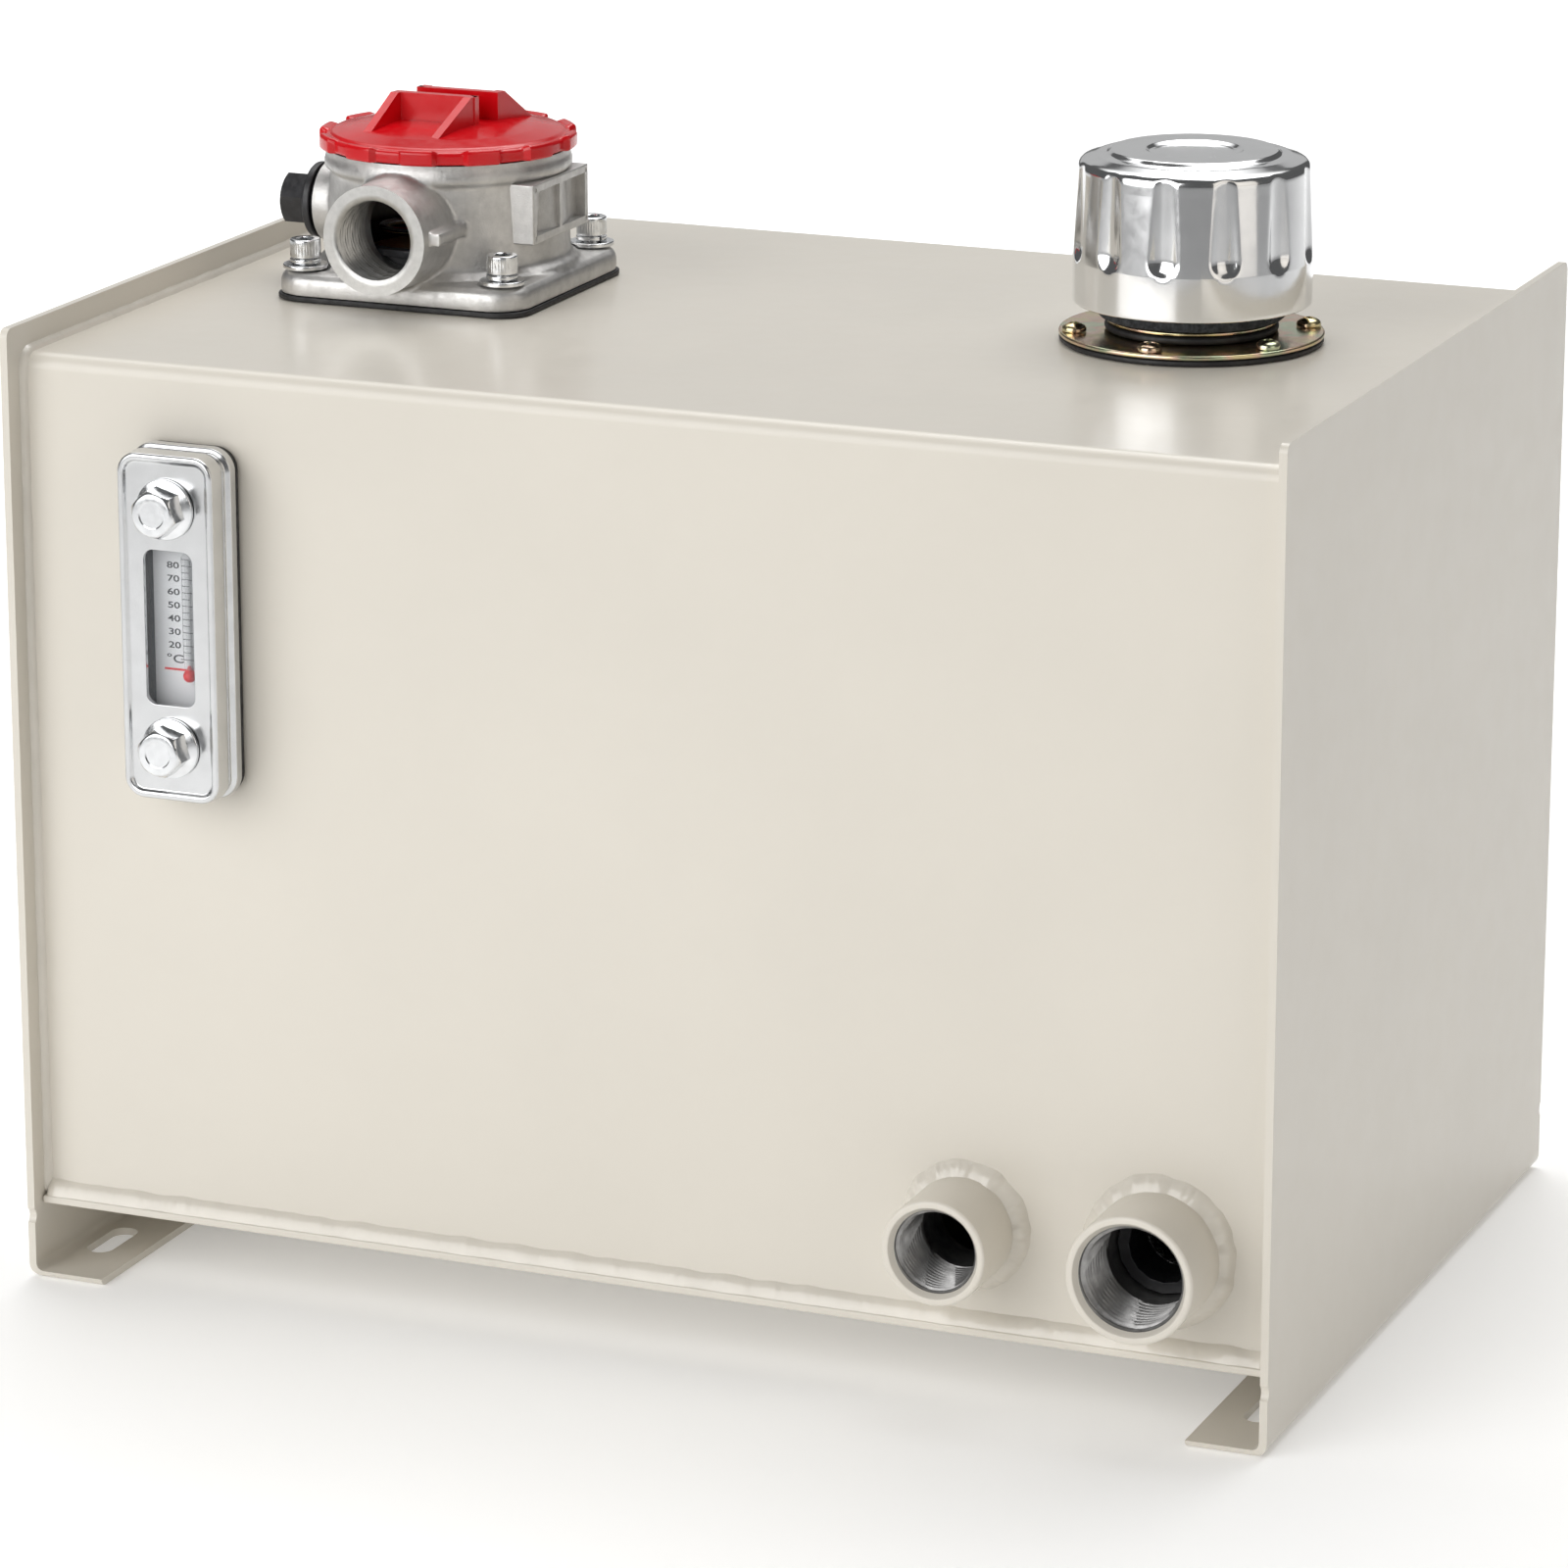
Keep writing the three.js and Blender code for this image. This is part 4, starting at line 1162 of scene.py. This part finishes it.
def filler_flange():
    """A disc with a rounded rim, six screw holes and three bayonet notches in its mouth."""
    box = Box("filler_flange")
    low, high = box.heights()
    radius = box.size.x / 2
    neck = 18.8
    notch, notch_half, notch_flank = 23, math.radians(11), math.radians(2)
    third = 2 * math.pi / 3

    def bayonet(r, z, angle):
        if r > neck + 0.5:
            return r
        off = abs(angle % third - third / 2)
        return r + (notch - neck) * min(1, max(0, (notch_half - off) / notch_flank))

    disc = turned(band(neck, radius, low, high, (0.2, 0.5, 0.7, 0.3)), 180, bayonet, joined=True)
    screws = screw_places("filler_screw", 6, FILLER.middle)
    cut(disc, *[shifted(rod(SCREW_HOLE, low - 1, high + 1, 24), at.x, at.y) for at in screws])
    return place(disc, "filler_flange_zinc", on_top(FILLER), "filler_flange", YELLOW)


def cap_gasket():
    low, high = FILLER.heights()
    outer, bore = FILLER.size.x / 2, 21
    made = turned(band(bore, outer, low, high, (0.4, 1.0, 1.0, 0.4), 6), joined=True)
    return place(made, "cap_gasket_rubber", on_top(FILLER), "cap_gasket", RUBBER)


def cap_base():
    """The pressed ring under the cap with its bayonet neck, three lugs and the standpipe."""
    low, high = Box("cap_base").heights()
    z0, z1 = FILLER.high.z - TOP + GAP, FILLER.high.z - TOP + 1.5
    outer, neck, wall = 27, 18, 1.5
    pipe, pipe_bore = 12, 10
    profile = rounded([
        (neck - wall, low), (neck, low, 0.3), (neck, z0, 0.6), (outer, z0, 0.4), (outer, z1, 0.5),
        (pipe, z1, 0.8), (pipe, high, 0.4), (pipe_bore, high, 0.4), (pipe_bore, z0, 0.8),
        (neck - wall, z0, 0.6),
    ], steps=4, closed=True)
    ring = turned(profile, joined=True)
    lug_reach, lug_half, lug_thick = 22.2, 3.5, 2.4
    start = (neck - wall + 0.2, -lug_half, low)
    union(ring, *[spun(block(start, (lug_reach, lug_half, low + lug_thick)), turn) for turn in (0, 120, 240)])
    soften(ring, 0.25, 2, 50)
    return place(ring, "cap_base_zinc", on_top(FILLER), "cap_base", YELLOW)


def fluted(low, wide):
    """The shape of the cap's grip: shallow upright flutes with round lower ends."""
    centre = wide + FLUTE_RADIUS - FLUTE_DEPTH
    soft = 0.55                  # how wide the flutes' edges are rounded
    top_disc = 28                # radius within which the cap's top has no flutes

    def shape(radius, z, angle):
        if radius < top_disc or z < low - FLUTE_RADIUS:
            return radius
        half = math.pi / FLUTES
        off = (angle - math.radians(FIRST_FLUTE) + half) % (2 * half) - half
        reach = FLUTE_RADIUS
        if z < low:
            reach = math.sqrt(FLUTE_RADIUS ** 2 - (low - z) ** 2)
        gap = reach ** 2 - (centre * math.sin(off)) ** 2
        if gap <= 0:
            return radius
        flute = centre * math.cos(off) - math.sqrt(gap)
        mix = max(soft - abs(radius - flute), 0) / soft
        return min(radius, flute) - mix * mix * soft / 4

    return shape


def cap_shell():
    """A pressed chrome cap: a sunk disc and a ring step on top, flutes round its side."""
    low, high = CAP.heights()
    wide = CAP.size.x / 2
    narrow = wide - 1.1
    shoulder = high - 4
    wall = 1.2
    outside = rounded([
        (0, high - 1), (14, high - 1, 1.2), (15.4, high, 1.0), (26, high, 0.9), (27.4, high - 1.3, 0.8),
        (30.5, high - 1.5, 3), (narrow - 0.2, high - 3.4, 3.2), (narrow, shoulder - 5, 6),
        (wide, low + 14, 8), (wide, low, 0.5), (wide - wall, low, 0.4), (wide - wall, low + 2),
    ], steps=6)
    outside = dense(outside, 0.9)
    inside = [(wide - 3.4, low + 6), (narrow - 3.6, shoulder - 4), (narrow - 8, high - 5.4), (0, high - 5.4)]
    profile = [(p.x, p.y) for p in outside] + inside
    grip = fluted(low + 19, wide)
    made = turned(profile, 384, lambda r, z, a: grip(r, z, a) if r > wide - 3 or z > high - 4.2 else r)
    return place(made, "cap_shell_chrome", on_top(CAP), "cap_shell", CHROME, angle=60)


def cap_filter():
    """A ring of open foam."""
    box = Box("cap_air_filter")
    low, high = box.heights()
    outer, bore = box.size.x / 2, 13

    def porous(r, z, angle):
        at = Vector((r * math.cos(angle), r * math.sin(angle), z))
        return r - 0.3 * abs(noise.noise(at * 0.6))

    profile = dense(rounded([
        (bore, low, 1), (outer, low, 2), (outer, high, 2), (bore, high, 1), (bore, low),
    ], steps=3), 2.5)
    made = turned(profile, 72, porous, joined=True)
    return place(made, "cap_air_filter_foam", on_top(box), "cap_air_filter", FOAM, angle=60)


# ---- return filter ----
FILTER = Box("filter_bowl")
HEAD = Box("filter_head")
HEAD_TOP = 46.5
FLANGE = (2.2, 9.6)              # its lower and upper face
FLANGE_HALF = 44
PORT_Z = 25                      # the return port's and the plug's axis
COLLAR = 40
TOWARDS_FRONT = Matrix.Translation((0, 0, PORT_Z)) @ Matrix.Rotation(math.pi / 2, 4, "X")
TOWARDS_LEFT = Matrix.Translation((0, 0, PORT_Z)) @ Matrix.Rotation(-math.pi / 2, 4, "Y")


def filter_gasket():
    """A square of rubber, squeezed out unevenly past the flange."""
    box = Box("filter_gasket")
    low, high = box.heights()
    half = box.size.x / 2
    rings = []
    for inset, z in rounded([(0.7, low), (0, low, 0.5), (0, high, 0.6), (0.9, high)], steps=4):
        outline = dense(rounded_rectangle(half - inset, half - inset, 10.5 - inset, 10), 2.0)
        ring = []
        for p in outline:
            wave = noise.noise(Vector((p.x / 17, p.y / 17, 2)))
            ring.append(p * (1 + 0.012 * (wave - 0.4)))
        rings.append(at_height(ring, z))
    body = skin(rings)
    bolts = screw_places("filter_screw", 4, FILTER.middle)
    holes = [shifted(rod(BOLT_HOLE, low - 1, high + 1, 24), at.x, at.y) for at in bolts]
    cut(body, rod(BOWL_HOLE, low - 1, high + 1, 72), *holes)
    return place(body, "filter_gasket_rubber", on_top(FILTER), "filter_gasket", RUBBER)


def casting_blank():
    """The head as cast: flange, body, collar, port boss, plug boss and rib, joined in one solid; the pad and
    the melting come after.
    """
    z0, z1 = FLANGE
    flange = pillow(FLANGE_HALF, FLANGE_HALF, 11.5, [
        (0.5, z0 - 1), (0, z0 + 1), (0, z0 + 3.6), (0.5, z0 + 5.4), (1.9, z1 - 0.6), (4.4, z1),
    ], 10)
    body = turned(rounded([
        (0, z0), (42.2, z0), (42.2, z1 + 0.8, 1.2), (39.6, z1 + 2.6, 2), (38.4, 38, 3), (38.4, 39.4, 1),
        (COLLAR + 0.3, 40.6, 1), (COLLAR + 0.3, 43, 1.5), (39.6, 44.4, 1), (39.6, HEAD_TOP + 1),
        (0, HEAD_TOP + 1),
    ], steps=5), 128)
    face = FILTER.middle.y - HEAD.low.y
    port = moved(turned([(0, 20), (19.4, 20), (17.9, face - 12), (17.5, face - 3), (0, face - 3)], 96),
                 TOWARDS_FRONT)
    reach = FILTER.middle.x - HEAD.low.x
    side = moved(turned([(0, 20), (14.2, 20), (13.1, reach + 1), (0, reach + 1)], 72), TOWARDS_LEFT)
    rib = block((0, -face + 4, PORT_Z - 1), (21.6, -20, PORT_Z + 3))
    return union(flange, body, port, side, rib, solver="MANIFOLD")


def head_pad():
    """The square frame on the head's right, with two pockets and ejector marks in its corners."""
    face, half, low, high = 40, 21.5, 20, 39.5
    border, deep = 2.6, 3
    pad = block((28, -half, low), (face, half, high))
    soften(pad, 0.5, 3)
    pockets = [block((face - deep, y0, low + border), (face + 1, y1, high - border))
               for y0, y1 in ((-half + border, -1), (1, half - border))]
    from_edge, mark = 1.9, 0.8
    for y in (-half + from_edge, half - from_edge):
        for z in (low + from_edge, high - from_edge):
            pockets.append(shifted(spun(rod(mark, -1, 1, 16), 90, "Y"), face + mark, y, z))
    return cut(pad, *pockets)


def head_port(face):
    """The return port's turned end, standing out of its cast boss."""
    radius, root = 17.75, 34
    return moved(turned([(0, root), (radius, root), (radius, face + 1), (0, face + 1)], 128), TOWARDS_FRONT)


def melt(made, voxel, rounds):
    """Rounds every corner and fillets every join, as a casting is."""
    remesh = made.modifiers.new("remesh", "REMESH")
    remesh.mode = "VOXEL"
    remesh.voxel_size = voxel
    relax = made.modifiers.new("relax", "SMOOTH")
    relax.factor = 0.5
    relax.iterations = rounds
    return settle(made)


def threaded_tool(bore, crest, pitch, deep, chamfer):
    """What a tap leaves: used to cut a threaded hole whose mouth is at height 0, into -z."""
    rows_per_turn = 7
    rows = math.ceil(deep / pitch * rows_per_turn)
    root = bore + crest
    first = 0.9                  # the chamfer ends and the thread starts at this depth
    threads = [(root, -first - (deep - first) * k / rows) for k in range(rows + 1)]
    profile = [(0, 2), (root + chamfer + 0.9, 2), (root + chamfer, 0)] + threads
    profile += [(bore, -deep - 0.8), (bore, -deep - 14), (0, -deep - 14)]

    def shape(radius, z, angle):
        if radius != root or z > -first:
            return radius
        return radius - crest * thread_height(z, angle, pitch)

    return turned(profile, 96, shape)


def filter_head():
    """A casting with its seats, bores and port machined: the cuts show bare metal."""
    face = FILTER.middle.y - HEAD.low.y
    head = melt(casting_blank(), 0.75, 3)
    union(head, head_pad(), head_port(face), solver="MANIFOLD")
    reach = FILTER.middle.x - Box("side_plug_seal").high.x - 0.1
    far = 80
    bowl_seat, bore, spot_face = 35, 33, 8.2
    tools = [
        block((-far, -far, -5), (far, far, FLANGE[0])),
        block((-far, -far, HEAD_TOP), (far, far, HEAD_TOP + 9)),
        block((-far, -face - 9, 0), (far, -face, far)),
        block((-reach - 9, -20, 8), (-reach, 20, 42)),
        rod(bowl_seat, 15, HEAD_TOP + 3, 128),
        rod(bore, -3, 15.5, 128),
        moved(shifted(threaded_tool(bore=12.6, crest=0.8, pitch=1.8, deep=19, chamfer=1.4), 0, 0, face),
              TOWARDS_FRONT),
        moved(rod(9.4, 20, reach + 1, 64), TOWARDS_LEFT),
    ]
    for bolt in screw_places("filter_screw", 4, FILTER.middle):
        tools.append(shifted(rod(BOLT_HOLE, 0, FLANGE[1] + 4, 24), bolt.x, bolt.y))
        tools.append(shifted(rod(spot_face, FLANGE[1] - 0.15, FLANGE[1] + 1.5, 48), bolt.x, bolt.y))
    for tool in tools:
        tool.data.materials.append(None)
        tool.data.materials.append(MACHINED)
        tool.data.polygons.foreach_set("material_index", [1] * len(tool.data.polygons))
    head.data.materials.clear()
    head.data.materials.append(CAST)
    head.data.materials.append(MACHINED)
    cut(head, *tools, solver="MANIFOLD")
    return place(head, "filter_head_cast", on_top(FILTER), "filter_head", angle=38)


LID = Box("filter_lid")
LOBES, FIRST_LOBE = 12, 11


def lobe(angle):
    """From 0 in a gap of the lid's rim to 1 on a lobe."""
    step = 2 * math.pi / LOBES
    off = abs((angle - math.radians(FIRST_LOBE) + step / 2) % step - step / 2) / step
    half, flank = 0.315, 0.09    # a lobe's share of a step at its foot, and its flank's
    rise = min(1, max(0, (half - off) / flank))
    return rise * rise * (3 - 2 * rise)


def lid_disc():
    """A domed disc with a lobed rim, and a skirt with a groove for the O-ring."""
    rim_low, rim_high = 46.8, 51
    groove, groove_low, groove_high = 32.4, 40.9, 43.5
    outer, gap = 42.2, 40.1
    raised = 0.9                 # the lobes stand this far over the rim
    edge, start = 38.4, 39.4     # from these radii outward the lobes rise, and the gaps cut in
    skirt, inside, bottom, ceiling = 34.5, 30.5, LID.low.z - TOP, 49.5
    profile = rounded([
        (0, 55.5), (19, 54.9, 20), (30, 53.4, 12), (37.4, 51.9, 2), (38.6, 51.0, 1.4), (outer, rim_high, 1.3),
        (outer, rim_low, 1.0), (skirt, rim_low), (skirt, groove_high), (groove, groove_high),
        (groove, groove_low), (skirt, groove_low), (skirt, bottom, 0.5), (inside, bottom, 0.5),
        (inside, ceiling, 2), (0, ceiling),
    ], steps=6)
    profile = [(p.x, p.y) for p in profile]

    def rim(radius, z, angle):
        if z < rim_low - 0.01 or radius < start:
            return radius
        return radius - (outer - gap) * (1 - lobe(angle)) * min(1, (radius - start) / 1.6)

    disc = turned(profile, 360, rim)
    for vertex in disc.data.vertices:
        out = vertex.co.xy.length
        if vertex.co.z > rim_high - 1.6 and out > edge:
            angle = math.atan2(vertex.co.y, vertex.co.x)
            vertex.co.z += raised * lobe(angle) * min(1, (out - edge) / 1.2)
    return disc


def grip_rib():
    """One rib: an upright blade with a sloping cheek at each end, a little off square to it."""
    root, top = 50, LID.high.z - TOP
    left, right, near = -16, 13, 4
    web, cheek, lean = 3, 3, 9
    rib = block((left, -near - web, root), (right, -near, top))
    cheeks = []
    for x, reach in ((left, 22), (right - cheek, 26)):
        outline = [(0, root), (reach, root), (reach, root + 2), (web + 1, top), (0, top)]
        wall = spun(moved(prism(outline, -cheek, 0), FACING_FRONT), -90 - lean)
        cheeks.append(shifted(wall, x, -near))
    union(rib, *cheeks)
    return soften(rib, 0.6, 3, 25)


def filter_lid():
    ribs = [spun(grip_rib(), turn) for turn in (0, 180)]
    return place(merge(lid_disc(), *ribs), "filter_lid_red", on_top(FILTER), "filter_lid", RED, angle=40)


def side_plug():
    """A black hexagon plug with a round flange, screwed into the plug boss."""
    seal, box = Box("side_plug_seal"), Box("side_plug")
    seat = Vector((seal.high.x, seal.middle.y, seal.middle.z))
    where = Matrix.Translation(seat) @ Matrix.Rotation(-math.pi / 2, 4, "Y")
    high = seal.high.x - box.low.x - 2
    low = seal.high.x - box.high.x
    rim, thread = 12.6, 8.6
    flange = turned(rounded([
        (0, 5.2), (10.4, 5.2, 0.8), (rim, 3.9, 0.9), (rim, 1.6, 0.5),
        (thread, 1.6), (thread, low + 1), (thread - 1, low), (0, low),
    ], steps=5))
    across, foot = 16, 4
    profile = hex_profile(across, foot, high, 7.3, 1.1) + [(0, foot)]
    head = spun(turned(profile, 96, hexagon(across, 7.2)), 12)
    cut(head, turned([(0, high + 1), (5.2, high + 1), (4.9, high - 1.6), (0, high - 1.6)], 48))
    place(merge(flange, head), "side_plug_black", where, "side_plug", BLACK, angle=28)
    thick = 0.75
    place(torus(10.9, thick, thick), "side_plug_seal_rubber", where, "side_plug_seal", RUBBER, angle=60)


def coil(node, radius, wire, turns):
    """A compression spring's wire."""
    box = Box(node)
    low, high = box.low.z + wire, box.high.z - wire
    steps_per_turn = 40
    steps = turns * steps_per_turn
    rings = []
    for k in range(steps + 1):
        angle = 2 * math.pi * turns * k / steps
        z = low + (high - low) * k / steps
        out = Vector((math.cos(angle), math.sin(angle), 0))
        centre = out * radius + Vector((0, 0, z))
        up = Vector((0, 0, 1))
        rings.append([centre + out * wire * math.cos(a) + up * wire * math.sin(a) for a in angles(12)])
    where = Matrix.Translation((FILTER.middle.x, FILTER.middle.y, 0))
    return place(skin(rings), node + "_wire", where, node, ZINC, angle=60)


# ---- inner pieces that stay as they are in the frame ----
def inner_pieces():
    keep("baffle_plate", PAINT, 0.4)
    keep("strainer_head", BLACK, 0.3)
    keep("strainer_screen", WIRE, 0.2)
    keep("filler_basket", WIRE, 0.15)
    keep("filter_bowl", BLACK, 0.3)
    keep("filter_element", PAPER, 0.3)
    keep("bypass_cage", ZINC, 0.2)
    keep("bypass_poppet", ZINC, 0.2)


# ---- stage ----
def stage():
    bpy.ops.mesh.primitive_plane_add(size=30)
    floor = bpy.context.object
    floor.name = "floor"
    floor.data.materials.append(pale_floor())


def stand(thing, aim, azimuth, elevation, distance):
    """Puts a light or a camera round a point and aims it there. Azimuth 0 is in front, 90 to the right."""
    a, e = math.radians(azimuth), math.radians(elevation)
    back = Vector((math.sin(a) * math.cos(e), -math.cos(a) * math.cos(e), math.sin(e)))
    thing.location = aim + back * distance
    thing.rotation_mode = "QUATERNION"
    thing.rotation_quaternion = back.to_track_quat("Z", "Y")


def softbox(name, azimuth, elevation, distance, size, power, spread, aim=(0, 0, 0.15)):
    """A rectangular light with a grid before it."""
    light = bpy.data.lights.new(name, "AREA")
    light.shape = "RECTANGLE"
    light.size, light.size_y = size
    light.energy = power
    light.spread = math.radians(spread)
    lamp = bpy.data.objects.new(name, light)
    bpy.context.scene.collection.objects.link(lamp)
    stand(lamp, Vector(aim), azimuth, elevation, distance)
    return light


def lights():
    """Two low softboxes with a dark gap between them at the camera, one overhead, one low behind, which the
    cap's top mirrors, and one over the floor behind."""
    softbox("key", -24, 20, 1.75, (2.0, 1.5), power=11, spread=110, aim=(0, 0, 0.27))
    warm = softbox("fill", 66, 18, 1.8, (1.2, 1.5), power=1.8, spread=110, aim=(0, 0, 0.25))
    warm.color = (1, 0.94, 0.86)
    softbox("top", 170, 74, 2.4, (2.2, 1.8), power=12.5, spread=110)
    softbox("rear", 202, 20, 2.6, (1.8, 1.1), power=2.4, spread=180)
    softbox("background", 202, 88, 3.2, (5, 5), power=105, spread=110, aim=(-1.2, 3.4, 0))
    world = bpy.data.worlds.new("studio")
    world.use_nodes = True
    sky = world.node_tree.nodes["Background"].inputs
    sky["Color"].default_value = (0.98, 0.99, 1.0, 1)
    sky["Strength"].default_value = 0.1
    bpy.context.scene.world = world
    bpy.context.scene.view_settings.view_transform = "Standard"


def camera():
    """At the height and side from which the reservoir is usually shown, through a long lens."""
    target = Vector((-0.0064, Box("left_end_plate").middle.y * MM, 0.1494))
    lens = bpy.data.cameras.new("camera")
    lens.lens = 153.25
    lens.sensor_width = 36
    eye = bpy.data.objects.new("camera", lens)
    bpy.context.scene.collection.objects.link(eye)
    stand(eye, target, azimuth=22.443, elevation=15.83, distance=2.1695)
    bpy.context.scene.camera = eye


camera()
lights()
stage()
for plate in ("right_end_plate", "left_end_plate"):
    end_plate(plate)
tank_wrap()
bottom_plate()
bottom_welds()
side_welds()
pipe_port("small_port", bore=12.05, crest=1.16, pitch=1.814)
pipe_port("large_port", bore=15.15, crest=1.48, pitch=2.309)
port_weld("small_port", seed=11)
port_weld("large_port", seed=17)
gauge_cover()
gauge_backing()
gauge_lens()
gauge_scale()
thermometer()
for end in ("upper", "lower"):
    gauge_bolt(end)
    gauge_nut(end)
    seal = Box("gauge_seal_" + end)
    out = Matrix.Translation((0, 0, FRONT - seal.middle.y))
    rubber_ring("gauge_seal_" + end, on_front(seal) @ out, f"gauge_seal_{end}_rubber")
filler_gasket()
filler_flange()
for i in range(1, 7):
    pan_screw(i)
cap_gasket()
cap_base()
cap_filter()
cap_shell()
filter_gasket()
filter_head()
filter_lid()
ring = Box("lid_o_ring")
rubber_ring("lid_o_ring", Matrix.Translation(ring.middle), "lid_o_ring_rubber")
for i in range(1, 5):
    flat_washer(i)
    spring_washer(i)
    socket_screw(i)
side_plug()
coil("element_spring", radius=22, wire=1.1, turns=3)
coil("bypass_spring", radius=7, wire=0.8, turns=4)
inner_pieces()
